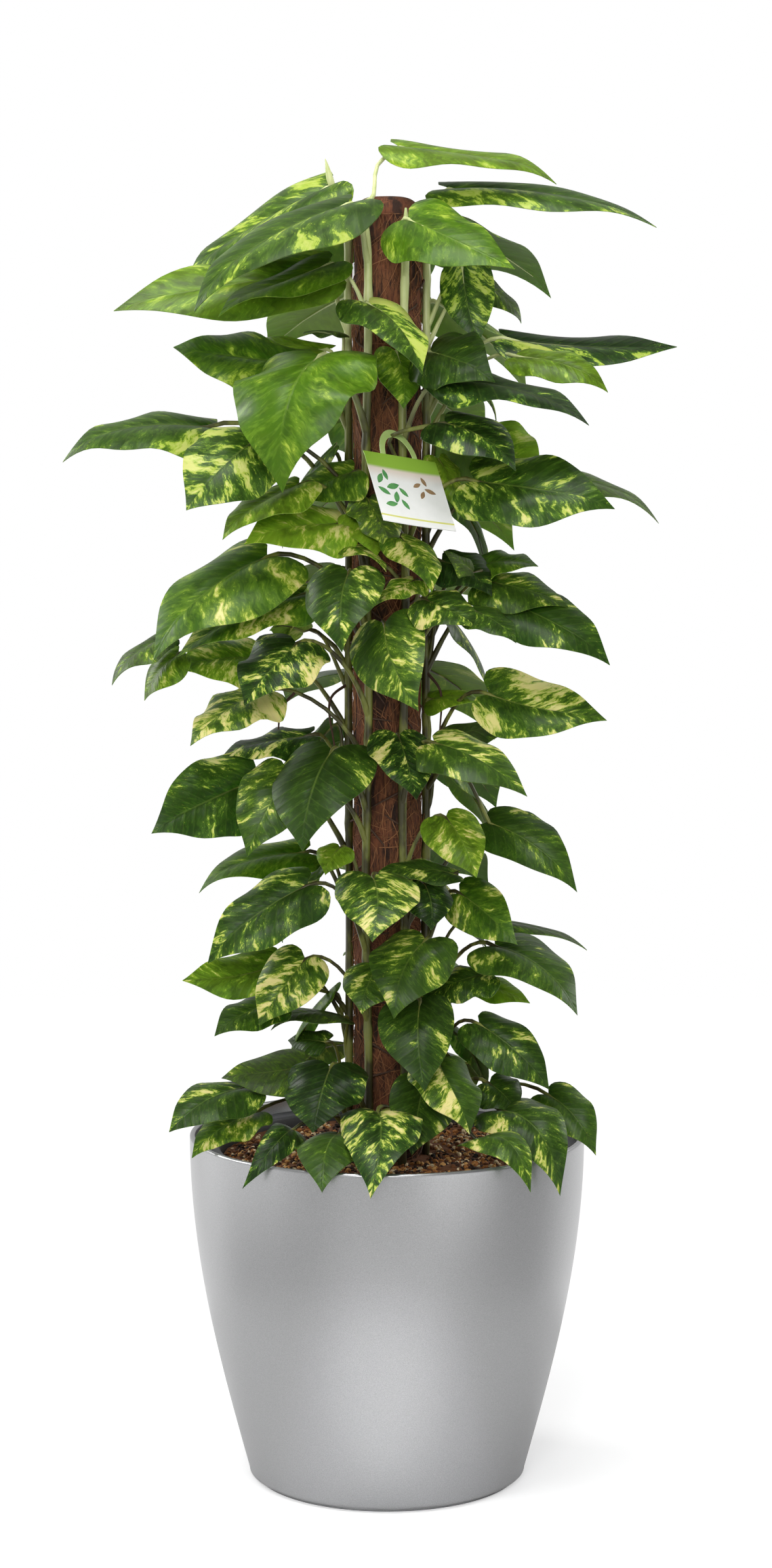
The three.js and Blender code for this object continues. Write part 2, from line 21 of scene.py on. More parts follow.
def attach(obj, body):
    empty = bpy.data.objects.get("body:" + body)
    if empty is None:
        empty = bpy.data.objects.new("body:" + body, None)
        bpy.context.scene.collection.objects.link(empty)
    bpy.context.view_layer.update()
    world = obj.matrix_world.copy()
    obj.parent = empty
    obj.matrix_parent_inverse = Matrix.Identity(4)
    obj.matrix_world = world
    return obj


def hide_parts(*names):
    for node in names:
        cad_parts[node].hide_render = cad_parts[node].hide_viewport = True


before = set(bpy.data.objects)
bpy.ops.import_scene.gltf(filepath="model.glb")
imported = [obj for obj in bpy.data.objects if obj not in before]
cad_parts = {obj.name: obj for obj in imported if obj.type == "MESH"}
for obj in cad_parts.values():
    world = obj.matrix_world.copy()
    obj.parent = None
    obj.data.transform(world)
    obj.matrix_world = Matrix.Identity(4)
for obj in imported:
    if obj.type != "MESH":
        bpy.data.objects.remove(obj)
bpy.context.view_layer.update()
MM = 0.001

# %% [markdown]
# ## Camera
#
# A tall plant is photographed from a few steps away with a long lens, so that its top and its planter aren't pulled
# apart. The camera stands at the height of the upper leaves and looks slightly down.

# %% Camera
LOOK_DOWN = 5.52


def add_object(name, data):
    made = bpy.data.objects.new(name, data)
    bpy.context.scene.collection.objects.link(made)
    return made


view = bpy.data.cameras.new("view")
view.lens = 70.75
view.sensor_width = 36
camera = add_object("camera", view)
camera.location = (-0.0011, -3.328, 1.084)
camera.rotation_euler = (math.radians(90 - LOOK_DOWN), 0, 0)
bpy.context.scene.camera = camera
print("camera", round(-camera.location.y, 2), "m in front of the pole")

# %% [markdown]
# ## Finishes written as sums
#
# A finish is a tree of nodes. Wiring every node by hand makes long code, so make adds one node with its inputs. A
# Level stands for a node's output. Sums with it are written as on paper, and each sign in them adds a Math node. What
# is the same all over a surface is set on the shader's own socket.


# %% Helpers for finishes
class Level:
    """The output of a node, to be added, multiplied or taken off like a number."""

    def __init__(self, socket):
        self.socket = socket
        self.tree = socket.id_data

    def math(self, operation, *others):
        return make(self.tree, "Math", dict(enumerate((self, *others))), operation=operation)

    def __add__(self, other):
        return self.math("ADD", other)

    def __sub__(self, other):
        return self.math("SUBTRACT", other)

    def __mul__(self, other):
        return self.math("MULTIPLY", other)

    def __rsub__(self, other):
        return self * -1 + other


def feed(node, inputs):
    """Links each Level to its socket, and sets every number and colour on the socket itself."""
    for name, value in inputs.items():
        socket = node.inputs[name]
        if isinstance(value, Level):
            value.tree.links.new(value.socket, socket)
        else:
            socket.default_value = (*value, 1) if socket.type == "RGBA" else value


def make(tree, kind, inputs, output=0, **settings):
    node = tree.nodes.new("ShaderNode" + kind)
    for name, value in settings.items():
        setattr(node, name, value)
    feed(node, inputs)
    return Level(node.outputs[output])


def new_finish(name, roughness):
    finish = bpy.data.materials.new(name)
    finish.use_nodes = True
    shader = finish.node_tree.nodes["Principled BSDF"]
    feed(shader, {"Roughness": roughness})
    return finish, finish.node_tree, shader


def where(tree, stretch=(1, 1, 1)):
    """The place on the object, in metres, with a pattern stretched along its axes."""
    return make(tree, "Mapping", {"Vector": make(tree, "TexCoord", {}, "Object"), "Scale": stretch})


def stored(tree, name):
    return make(tree, "Attribute", {}, "Fac", attribute_name=name)


def split(place):
    node = place.tree.nodes.new("ShaderNodeSeparateXYZ")
    feed(node, {0: place})
    return [Level(output) for output in node.outputs]


def joined(*parts):
    return make(parts[0].tree, "CombineXYZ", dict(enumerate(parts)))


def cloud(place, scale, detail=2, rough=0.5):
    return make(place.tree, "TexNoise", {"Vector": place, "Scale": scale, "Detail": detail, "Roughness": rough})


def ease(value, low, high):
    """Rises softly from 0 at low to 1 at high."""
    return make(value.tree, "MapRange", {"Value": value, "From Min": low, "From Max": high},
                interpolation_type="SMOOTHSTEP")


def blend(share, first, second):
    tree = next(part.tree for part in (share, first, second) if isinstance(part, Level))
    return make(tree, "Mix", {0: share, 6: first, 7: second}, 2, data_type="RGBA")


def painted(colour, *coats):
    """A colour under coats of paint, each given by its share and its colour."""
    for share, coat in coats:
        colour = blend(share, colour, coat)
    return colour


def ramp(value, stops, interpolation="LINEAR"):
    made = make(value.tree, "ValToRGB", {0: value})
    scale = made.socket.node.color_ramp
    scale.interpolation = interpolation
    while len(scale.elements) < len(stops):
        scale.elements.new(0.5)
    for mark, (place, colour) in zip(scale.elements, stops):
        mark.position = place
        mark.color = (*colour, 1)
    return made


def relief(height, strength, depth):
    return make(height.tree, "Bump", {"Strength": strength, "Distance": depth, "Height": height})


def mottled_finish(name, roughness, dark, light, scale, stretch=(1, 1, 1), bump=None):
    """Two colours in fine clouds, with a relief that follows them where bump gives its strength and depth."""
    finish, tree, shader = new_finish(name, roughness)
    mottle = cloud(where(tree, stretch), scale, 3)
    feed(shader, {"Base Color": blend(mottle, dark, light)})
    if bump:
        feed(shader, {"Normal": relief(mottle, *bump)})
    return finish


print("tools for finishes:", ", ".join(tool.__name__ for tool in (cloud, ease, blend, painted, ramp, relief)))


# %% Helpers for pieces
def keep_mesh(bm, name):
    mesh = bpy.data.meshes.new(name)
    bm.to_mesh(mesh)
    bm.free()
    return mesh


def triangles(mesh):
    return sum(len(face.vertices) - 2 for face in mesh.polygons)


def add_piece(mesh, replaced, finishes, sharp=45):
    piece = add_object(mesh.name, mesh)
    for finish in finishes:
        mesh.materials.append(finish)
    mesh.polygons.foreach_set("use_smooth", [True] * len(mesh.polygons))
    mesh.set_sharp_from_angle(angle=math.radians(sharp))
    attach(piece, "root")
    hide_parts(replaced)
    print(piece.name, "has", triangles(mesh), "triangles")


def spun(profile, steps):
    """Spins [radius, height] points, in millimetres, once round the upright axis."""
    bm = bmesh.new()
    corners = [bm.verts.new((radius * MM, 0, height * MM)) for radius, height in profile]
    edges = [bm.edges.new(pair) for pair in zip(corners, corners[1:])]
    bmesh.ops.spin(bm, geom=corners + edges, cent=(0, 0, 0), axis=(0, 0, 1), angle=2 * math.pi,
                   steps=steps, use_merge=True)
    bmesh.ops.remove_doubles(bm, verts=bm.verts, dist=1e-6)
    bmesh.ops.recalc_face_normals(bm, faces=bm.faces)
    return bm


# %% [markdown]
# ## Floor and light
#
# Large soft lamps stand on both sides, as in a studio, and the room itself is pale. The satin planter mirrors it, so
# the room is dimmer at the sides than behind and low in front, like a white sweep of paper. Two low panels draw the
# planter's bright bands. The floor glows a little to the camera only, so that its edge can't be seen.

# %% Floor and lamps
FLOOR_RADIUS = 0.62
FLOOR_GLOW = 0.4


def add_floor():
    bm = bmesh.new()
    bmesh.ops.create_circle(bm, cap_ends=True, segments=96, radius=FLOOR_RADIUS)
    floor = add_object("floor", keep_mesh(bm, "floor"))
    finish, tree, shader = new_finish("pale_floor", 0.9)
    seen = make(tree, "LightPath", {}, "Is Camera Ray")
    feed(shader, {"Base Color": (0.76, 0.76, 0.76), "Emission Color": (1, 1, 1),
                  "Emission Strength": seen * FLOOR_GLOW})
    floor.data.materials.append(finish)


def add_lamp(name, place, aim, size, power, spread=180):
    lamp = bpy.data.lights.new(name, "AREA")
    lamp.shape = "DISK"
    lamp.size = size
    lamp.energy = power
    lamp.spread = math.radians(spread)
    holder = add_object(name, lamp)
    holder.location = place
    holder.rotation_euler = (Vector(aim) - Vector(place)).to_track_quat("-Z", "Y").to_euler()


def pale_room():
    """White to the camera, and dimmer as light."""
    room = bpy.data.worlds.new("room")
    room.use_nodes = True
    tree = room.node_tree
    x, y, z = split(make(tree, "TexCoord", {}, "Generated"))
    behind = ease(y, 0.1, 0.75) * 0.46 + 0.13
    ahead = ease(y, -0.5, -0.95) * 0.3
    below = ease(z, 0, -0.2) * 0.45
    to_the_right = x * 0.67 + y * -0.74
    panels = ease(to_the_right, 0.86, 0.97) * 0.8 + ease(x, -0.6, -0.95) * 0.75
    light = behind + ahead + (below + panels * ease(z, -0.42, -0.2))
    seen = make(tree, "LightPath", {}, "Is Camera Ray")
    feed(tree.nodes["Background"], {"Color": (1, 1, 1), "Strength": seen.math("MAXIMUM", light)})
    return room


bpy.context.scene.world = pale_room()
bpy.context.scene.view_settings.view_transform = "Standard"
add_floor()
add_lamp("front_softbox", (-0.5, -3.7, 2.1), (0, 0, 0.7), 1.3, 55)
add_lamp("top_softbox", (-0.3, -0.8, 3.4), (0, 0, 0.7), 1.7, 60)
add_lamp("left_softbox", (-2.3, 1.0, 2.0), (0, 0, 0.8), 1.3, 30)
add_lamp("right_softbox", (2.4, 0.8, 1.8), (0, 0, 0.7), 1.2, 25)
add_lamp("floor_spot", (0, -0.62, 1.2), (0, -0.4, 0), 0.2, 0.45, 30)
print(len(bpy.data.lights), "lamps and a pale room")

# %% [markdown]
# ## Planter
#
# The planter is moulded and lacquered in satin silver. A lathe would make its shape, so its profile is spun: a soft
# curve that bulges under the rim, a rounded lip, and a foot that is set in and throws a thin shadow. The lacquer is
# metallic and slightly rough, with fine flakes that only show close by.

# %% Planter
RIM_RADIUS = 216
PLANTER_HEIGHT = 380
BASE_RADIUS = 150
PLANTER_WALL = 6
LEDGE_HEIGHT = 363
LIP_ROUND = 3
FOOT_RADIUS = 145
LATHE_STEPS = 144


def planter_radius(height):
    return BASE_RADIUS + (RIM_RADIUS - BASE_RADIUS) * math.sin(math.pi / 2 * height / PLANTER_HEIGHT)


def planter_profile():
    foot = [(0, 0), (FOOT_RADIUS, 0), (FOOT_RADIUS, 3.5), (FOOT_RADIUS + 1, 4)]
    skirt = [(planter_radius(9) - 2.2, 4.2), (planter_radius(9) - 0.6, 5.4)]
    side = [(planter_radius(height), height) for height in np.linspace(9, 373.5, 34)]
    lip = []
    for step in range(13):
        angle = math.pi * step / 12
        lip.append((RIM_RADIUS - LIP_ROUND + LIP_ROUND * math.cos(angle),
                    PLANTER_HEIGHT - LIP_ROUND + LIP_ROUND * math.sin(angle)))
    inside = [(210, 366), (209.2, 364), (208, LEDGE_HEIGHT), (201, LEDGE_HEIGHT), (200, 361)]
    well = [(planter_radius(height) - 2 * PLANTER_WALL, height) for height in np.linspace(340, 20, 12)]
    return foot + skirt + side + lip + inside + well + [(134, 12), (128, 7), (0, 6)]


def planter_finish():
    finish, tree, shader = new_finish("satin_silver_lacquer", 0.4)
    flakes = cloud(where(tree), 1500, 2, 0.7)
    tone = blend(ease(flakes, 0.3, 0.7), (0.34, 0.342, 0.348), (0.48, 0.482, 0.488))
    colour = blend(cloud(where(tree), 7) * 0.12, tone, (0.48, 0.48, 0.48))
    feed(shader, {"Base Color": colour, "Roughness": flakes * 0.1 + 0.26, "Normal": relief(flakes, 0.05, 0.0002),
                  "Metallic": 0.9, "Coat Weight": 0.15, "Coat Roughness": 0.35})
    return finish


add_piece(keep_mesh(spun(planter_profile(), LATHE_STEPS), "planter_shell"), "planter", [planter_finish()])

# %% [markdown]
# ## Liner
#
# The plant itself grows in a dark plastic pot that hangs in the planter by its flange. Only the flange and a hand's
# width of wall above the soil are ever seen. Such pots are moulded with a fine matt grain.


# %% Liner
def liner_profile():
    flange = [(186, 363.3), (205.8, 363.3), (207.3, 363.8), (207.8, 364.8), (207.2, 365.9), (205.6, 366.3)]
    lip = [(188.5, 366.3), (186, 366.2), (184, 365.4), (182.9, 363.5)]
    inside = [(182.9 - 39.5 * share, 363.5 - 270.5 * share) for share in (0.03, 0.25, 0.5, 0.75, 0.985)]
    return [(0, 90), (146, 90)] + flange + lip + inside + [(139, 93), (0, 93)]


def liner_finish():
    finish, tree, shader = new_finish("grained_dark_plastic", 0.55)
    grain = cloud(where(tree), 900)
    feed(shader, {"Base Color": blend(grain, (0.028, 0.03, 0.034), (0.06, 0.062, 0.068)),
                  "Roughness": grain * 0.2 + 0.42, "Normal": relief(grain, 0.15, 0.0003)})
    return finish


add_piece(keep_mesh(spun(liner_profile(), LATHE_STEPS), "grow_pot"), "liner", [liner_finish()])

# %% [markdown]
# ## Tubes by formula
#
# Stems, petioles, aerial roots and the fibres of the pole are all thin tubes. One straight tube is made with bmesh
# operators, a capped cylinder cut into even rings. Every real tube is that same tube with its vertices moved on to a
# path, which is quick enough for more than a thousand of them.


# %% Straight tube, and its bending
def straight_tube(sides, rings):
    bm = bmesh.new()
    bmesh.ops.create_cone(bm, cap_ends=True, segments=sides, radius1=1, radius2=1, depth=rings,
                          matrix=Matrix.Translation((0, 0, rings / 2)))
    for level in range(1, rings):
        bmesh.ops.bisect_plane(bm, geom=bm.verts[:] + bm.edges[:] + bm.faces[:], plane_co=(0, 0, level),
                               plane_no=(0, 0, 1))
    bmesh.ops.recalc_face_normals(bm, faces=bm.faces)
    return keep_mesh(bm, "tube")


def corners_of(mesh):
    flat = np.empty(len(mesh.vertices) * 3)
    mesh.vertices.foreach_get("co", flat)
    return flat.reshape(-1, 3)


def bent(tube, path, radii):
    """Where the corners of a straight tube lie once it follows path, whose points are one to a ring."""
    path = np.asarray(path, float)
    ahead = np.gradient(path, axis=0)
    ahead /= np.linalg.norm(ahead, axis=1)[:, None]
    reach = np.cross(ahead[0], (0.3, 0.2, 0.93) if abs(ahead[0][2]) < 0.9 else (1.0, 0.1, 0.0))
    sideways = []
    for direction in ahead:
        reach = reach - direction * reach.dot(direction)
        reach /= np.linalg.norm(reach)
        sideways.append(reach)
    sideways = np.array(sideways)
    other = np.cross(ahead, sideways)
    ring = np.rint(tube[:, 2]).astype(int)
    wide = np.asarray(radii, float)[ring][:, None]
    return path[ring] + wide * (tube[:, :1] * sideways[ring] + tube[:, 1:2] * other[ring])


def smooth(points, slopes, low, u, span=1):
    """A smooth curve's place, a share u of the way from point low to the next."""
    return ((2 * u ** 3 - 3 * u ** 2 + 1) * points[low] + (u ** 3 - 2 * u ** 2 + u) * span * slopes[low]
            + (3 * u ** 2 - 2 * u ** 3) * points[low + 1] + (u ** 3 - u ** 2) * span * slopes[low + 1])


def along(points, count):
    """Points at even steps of a smooth curve through a few given ones."""
    points = np.asarray(points, float)
    place = np.linspace(0, len(points) - 1, count)
    low = np.clip(place.astype(int), 0, len(points) - 2)
    return smooth(points, np.gradient(points, axis=0), low, (place - low)[:, None])


class Growth:
    """Collects copies of a few flat meshes, and where their corners go."""

    def __init__(self, values):
        self.bm = bmesh.new()
        self.places = []
        self.values = {name: [] for name in values}

    def add(self, mesh, places, **values):
        self.bm.from_mesh(mesh)
        self.places.append(places)
        for name, kept in self.values.items():
            kept.append(np.broadcast_to(values.get(name, 0.0), len(places)))

    def mesh(self, name):
        made = keep_mesh(self.bm, name)
        made.vertices.foreach_set("co", (np.concatenate(self.places) * MM).ravel())
        for value, kept in self.values.items():
            made.attributes.new(value, "FLOAT", "POINT").data.foreach_set("value", np.concatenate(kept))
        made.update()
        return made


FIBRE_POINTS, STALK_POINTS, STEM_POINTS = 7, 15, 97
FIBRE_TUBE = straight_tube(3, FIBRE_POINTS - 1)
STALK_TUBE = straight_tube(8, STALK_POINTS - 1)
STEM_TUBE = straight_tube(10, STEM_POINTS - 1)
print("a petiole's tube has", len(STALK_TUBE.vertices), "corners")

# %% [markdown]
# ## Soil
#
# The soil is topped with loose granules: mostly brown, with burnt orange, cream and black ones between them. The
# ground is a spun plug with a lumpy top. Each granule is a copy of one small ball, squashed, turned and half sunk by
# seeded draws, and it keeps its own number so that the finish can give each one its own colour.

# %% Soil
SOIL_TOP = 352
SOIL_LOW = 93.3
GRANULES = 3600
POLE_HOLE = 37.8


def soil_height(x, y):
    broad = 3 * math.sin(x / 23 + 1.3) * math.cos(y / 19)
    return SOIL_TOP + 1 + broad + 1.5 * noise.noise((x / 9, y / 9, 2.0))


def soil_ground():
    rings = [(180.2 - 145 * share, SOIL_TOP + 1) for share in np.linspace(0.0, 1.0, 46)]
    inner = [(POLE_HOLE, SOIL_TOP - 4), (POLE_HOLE, SOIL_LOW)]
    bm = spun([(POLE_HOLE, SOIL_LOW), (141.5, SOIL_LOW), (180.6, 345)] + rings + inner, 120)
    for corner in bm.verts:
        if corner.co.z > (SOIL_TOP + 0.5) * MM:
            corner.co.z = soil_height(corner.co.x / MM, corner.co.y / MM) * MM
    return bm


def add_granules(growth, draw):
    bm = bmesh.new()
    bmesh.ops.create_icosphere(bm, subdivisions=1, radius=1)
    ball = keep_mesh(bm, "granule")
    corners = corners_of(ball)
    for _ in range(GRANULES):
        angle = draw.uniform(0, 2 * math.pi)
        out = math.sqrt(draw.uniform(48 ** 2, 177 ** 2))
        x, y = out * math.cos(angle), out * math.sin(angle)
        size = draw.choice((1.6, 2, 2.4, 2.8, 3.4))
        turn = Matrix.Rotation(draw.uniform(0, 6.28), 3, "Z") @ Matrix.Rotation(draw.uniform(0, 3), 3, "X")
        squash = Matrix.Diagonal((size * draw.uniform(0.8, 1.3), size, size * draw.uniform(0.6, 0.9)))
        places = corners @ np.array(turn @ squash).T + (x, y, soil_height(x, y) + 0.3)
        growth.add(ball, places, grain=draw.random())


def soil_finish():
    finish, tree, shader = new_finish("soil_granules", 0.95)
    stops = ((0, (0.05, 0.022, 0.012)), (0.24, (0.2, 0.075, 0.025)), (0.46, (0.5, 0.2, 0.05)),
             (0.64, (0.014, 0.01, 0.008)), (0.72, (0.75, 0.4, 0.13)), (0.84, (0.95, 0.75, 0.46)))
    dust = cloud(where(tree), 500, 3)
    colour = blend(dust * 0.25, ramp(stored(tree, "grain"), stops, "CONSTANT"), (0.02, 0.012, 0.008))
    feed(shader, {"Base Color": colour, "Normal": relief(dust, 0.6, 0.001)})
    return finish


soil = Growth(["grain"])
ground = keep_mesh(soil_ground(), "ground")
soil.add(ground, corners_of(ground) / MM, grain=0.3)
add_granules(soil, random.Random(5))
add_piece(soil.mesh("soil_bed"), "soil", [soil_finish()])

# %% [markdown]
# ## Coir pole
#
# Coconut fibre is wound round a stake and pressed into a dense, reddish-brown mat. The mat is a spun sleeve whose
# skin heaves a little, and over a thousand single fibres lie on it, mostly lengthways. Some lift off at one end.

# %% Coir pole
POLE_RADIUS = 36.6
POLE_TOP = 1390
POLE_DOME = 19
FIBRES = 1500


def pole_skin(height, angle):
    winding = np.sin(3 * angle + height / 31) + np.sin(5 * angle - height / 47 + 2)
    return POLE_RADIUS - 1.6 * (0.5 + 0.25 * winding)


def pole_sleeve():
    wall = [(POLE_RADIUS, height) for height in np.linspace(SOIL_LOW, POLE_TOP - POLE_DOME, 170)]
    dome = []
    for step in range(1, 12):
        angle = math.pi / 2 * step / 12
        dome.append((18 + 18.6 * math.cos(angle), POLE_TOP - POLE_DOME + POLE_DOME * math.sin(angle)))
    top = [(18, POLE_TOP), (9, POLE_TOP + 0.4), (0, POLE_TOP + 0.5)]
    bore = [(0, POLE_TOP - 40), (14.3, POLE_TOP - 40), (14.3, SOIL_LOW), (POLE_RADIUS, SOIL_LOW)]
    bm = spun(wall + dome + top + bore, 56)
    for corner in bm.verts:
        x, y, z = corner.co / MM
        out = math.hypot(x, y)
        if out < 15 or (out < 19 and z < POLE_TOP - 20):
            continue
        rough = noise.fractal((x / 9, y / 9, z / 26), 0.8, 2.0, 3) * 0.9
        scale = (pole_skin(z, math.atan2(y, x)) + rough) / POLE_RADIUS
        corner.co.x *= scale
        corner.co.y *= scale
    return bm


def add_fibres(growth, draw):
    tube = corners_of(FIBRE_TUBE)
    for _ in range(FIBRES):
        start = draw.uniform(330, POLE_TOP - 22)
        angle = draw.uniform(0, 2 * math.pi)
        length = draw.uniform(25, 95)
        lean = draw.gauss(0, 0.75)
        steps = np.linspace(0, 1, FIBRE_POINTS)
        heights = np.clip(start + length * math.cos(lean) * steps, None, POLE_TOP - 20)
        angles = angle + length * math.sin(lean) * steps / POLE_RADIUS + 0.08 * np.sin(steps * draw.uniform(3, 9))
        lift = 0.4 + draw.uniform(0.2, 1.6) * np.sin(math.pi * steps) + max(0, draw.gauss(-2.5, 3)) * steps ** 3
        out = pole_skin(heights, angles) + lift
        path = np.stack([out * np.cos(angles), out * np.sin(angles), heights], 1)
        radii = [draw.uniform(0.25, 0.6)] * FIBRE_POINTS
        growth.add(FIBRE_TUBE, bent(tube, path, radii), strand=draw.uniform(0.2, 1))


def coir_finish():
    finish, tree, shader = new_finish("coconut_fibre", 0.95)
    long_grain = cloud(where(tree, (1, 1, 0.16)), 420, 4, 0.7)
    patches = ease(cloud(where(tree), 26), 0.4, 0.7)
    # The near-black streaks laid over the mat are painted shade in the gaps between the fibres.
    furrow_shade = ease(cloud(where(tree, (1, 1, 0.3)), 60, 3, 0.6), 0.5, 0.62)
    mat = blend(ease(long_grain, 0.3, 0.68), (0.026, 0.01, 0.006), (0.22, 0.082, 0.032))
    mat = painted(mat, (patches * 0.6, (0.17, 0.05, 0.022)), (furrow_shade * 0.85, (0.014, 0.007, 0.005)),
                  (stored(tree, "strand") * 0.65, (0.42, 0.19, 0.08)))
    feed(shader, {"Base Color": mat, "Normal": relief(long_grain, 0.9, 0.002)})
    return finish


pole = Growth(["strand"])
sleeve = keep_mesh(pole_sleeve(), "sleeve")
pole.add(sleeve, corners_of(sleeve) / MM)
add_fibres(pole, random.Random(11))
add_piece(pole.mesh("coir_sleeve"), "coir_pole", [coir_finish()], 60)

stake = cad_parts["pole_core"].data
stake.materials.clear()
stake.materials.append(mottled_finish("plain_stake", 0.8, (0.3, 0.17, 0.08), (0.5, 0.33, 0.18), 300, (1, 1, 0.05)))

# %% [markdown]
# ## One leaf blade
#
# A golden pothos leaf is a lopsided heart with a drip tip, thin and waxy. The midrib is sunk on top and stands proud
# below, the two halves swell beside it, and the edge waves a little. A blade starts as a flat grid. Its rows are bent
# into the heart's shape and its skin is doubled with solidify. That flat blade is made once. Each leaf of the plant
# then is a copy with every vertex moved by one formula, so no two leaves need to look the same.

# %% Flat blade
HEART_ROWS = (0, 0.09, 0.19, 0.3, 0.45, 0.62, 0.76, 0.88, 0.95, 1)
RIB_AT = (0, 0.03, 0.08, 0.17, 0.33, 0.54, 0.72, 0.86, 0.94, 1)
EDGE_ALONG = (-0.09, -0.105, -0.03, 0.1, 0.29, 0.53, 0.72, 0.865, 0.945, 1)
EDGE_OUT = (0.26, 0.58, 0.85, 0.98, 1, 0.86, 0.585, 0.27, 0.1, 0)


def smooth_row(values, at):
    rows = np.array(HEART_ROWS)
    points = np.array(values, float)
    low = np.clip(np.searchsorted(rows, at, side="right") - 1, 0, len(rows) - 2)
    span = rows[low + 1] - rows[low]
    return smooth(points, np.gradient(points, rows), low, (at - rows[low]) / span, span)


def lay_map(bm, name, place):
    layer = bm.loops.layers.uv.new(name)
    for face in bm.faces:
        for loop in face.loops:
            loop[layer].uv = place(*loop.vert.co.xy)


def flat_blade(columns, rows):
    """X is the share of the half width, Y the share of the length, and the upper skin lies at Z above 0."""
    bm = bmesh.new()
    bmesh.ops.create_grid(bm, x_segments=columns, y_segments=rows, size=1)
    for corner in bm.verts:
        reach = corner.co.x
        row = (corner.co.y + 1) / 2
        rib = smooth_row(RIB_AT, row)
        edge = smooth_row(EDGE_ALONG, row)
        sweep = 0.035 * math.sin(math.pi * abs(reach)) * math.sin(math.pi * row)
        corner.co.x = reach * smooth_row(EDGE_OUT, row)
        corner.co.y = rib + (edge - rib) * abs(reach) + sweep
    bmesh.ops.remove_doubles(bm, verts=bm.verts, dist=1e-5)
    lay_map(bm, "Blade", lambda x, y: (0.5 + 0.5 * x, (y + 0.1) / 1.1))
    bmesh.ops.solidify(bm, geom=bm.faces[:], thickness=0.01)
    bmesh.ops.recalc_face_normals(bm, faces=bm.faces)
    return keep_mesh(bm, "blade")


LARGE_BLADE = flat_blade(18, 26)
SMALL_BLADE = flat_blade(14, 20)
print("a large blade has", triangles(LARGE_BLADE), "triangles, a small one", triangles(SMALL_BLADE))

# %% [markdown]
# ## Where every leaf hangs
#
# A leaf is placed by its blade's notch and tip, then by its width, how far its upper face turns to the viewer and the
# arch of its midrib. Its look is its green, how much of it is yellow and which half has more of that. A few petioles
# leave the stem further below the notch or above it, and some of them pass two points. The tables are those of the
# frame, so the fine leaves lie on its solids. Threads are aerial roots, and the one that points upwards is a new leaf
# that is still rolled up.

# %% Vines
Leaf = namedtuple("Leaf", "notch tip width face arch green yellow side rise route", defaults=(0, None, ()))
Vine = namedtuple("Vine", "azimuth top leaves threads", defaults=((),))


def read_leaves(table):
    """One leaf a line: notch, tip, form and look, and for some how far below the notch the petiole starts."""
    leaves = []
    for line in table.strip().splitlines():
        parts = [[cell if cell.isalpha() else float(cell) for cell in part.split()] for part in line.split(",")]
        notch, tip, form, look, *petiole = parts
        rise = petiole[0][0] if petiole else None
        leaves.append(Leaf(notch, tip, *form, *look, rise=rise, route=petiole[1:]))
    return leaves


VINES = {}
VINES["vine_front_right"] = Vine(25, 1376, read_leaves("""
22 -68 1362, 124 -161 1299, 88 46 0.1, bright 0.24 0.2
-20 -79 1274, 39 -177 1200, 76 6 0.08, dark 0.72 0.5
10 -50 1225, 20 -80 1165, 50 0 0.06, bright 0.31
67 -77 1194, 208 -150 1153, 93 18 0.06, deep 0.05
60 -95 1150, 135 -140 1105, 85 28 0.08, deep 0.46, 65, 10 -50 1112, 5 -66 1137
-20 -60 1070, 5 -85 1015, 60 0 0.06, grey 0.52
55 -35 1112, 80 -52 1050, 50 10 0.05, lime 0.32
92 -82 1090, 230 -150 1065, 98 46 0.05, dark 0.46 -0.2
-42 -72 1022, 0 -112 1000, 55 0 0.06, mid 0.85
14 -68 1030, 52 -120 980, 60 0 0.06, mid 0.66
-3 -99 941, 24 -171 856, 82 30 0.07, leaf 0.54
28 -72 985, -12 -105 962, 46 20 0.06, bright 0.85
42 -88 965, 92 -128 940, 66 30 0.06, dark 0.53
90 -100 955, 135 -140 925, 50 20 0.06, dark 0.12
12 -80 822, 30 -140 760, 68 0 0.06, deep 0.47 -0.3
50 -92 815, 145 -158 765, 80 30 0.1, leaf 0.45 0.5
-15 -110 675, -10 -190 620, 88 0 0.08, dark 0.52
62 -82 735, 96 -132 679, 62 26 0.07, olive 0.6
71 -61 672, -19 -73 671, 37 26 0.09, dark 0.36
40 -70 662, 50 -110 620, 56 0 0.06, deep 0.27
41 -90 605, 2 -147 535, 87 15 0.12, leaf 0.28
35 -100 540, 35 -165 460, 80 0 0.08, dark 0.14
55 -110 475, 85 -165 415, 75 0 0.08, leaf 0.46 -0.7
-10 -115 425, -10 -245 365, 85 0 0.15, deep 0.6
40 -95 455, 25 -160 390, 72 10 0.08, dark 0.24 0.2
"""))
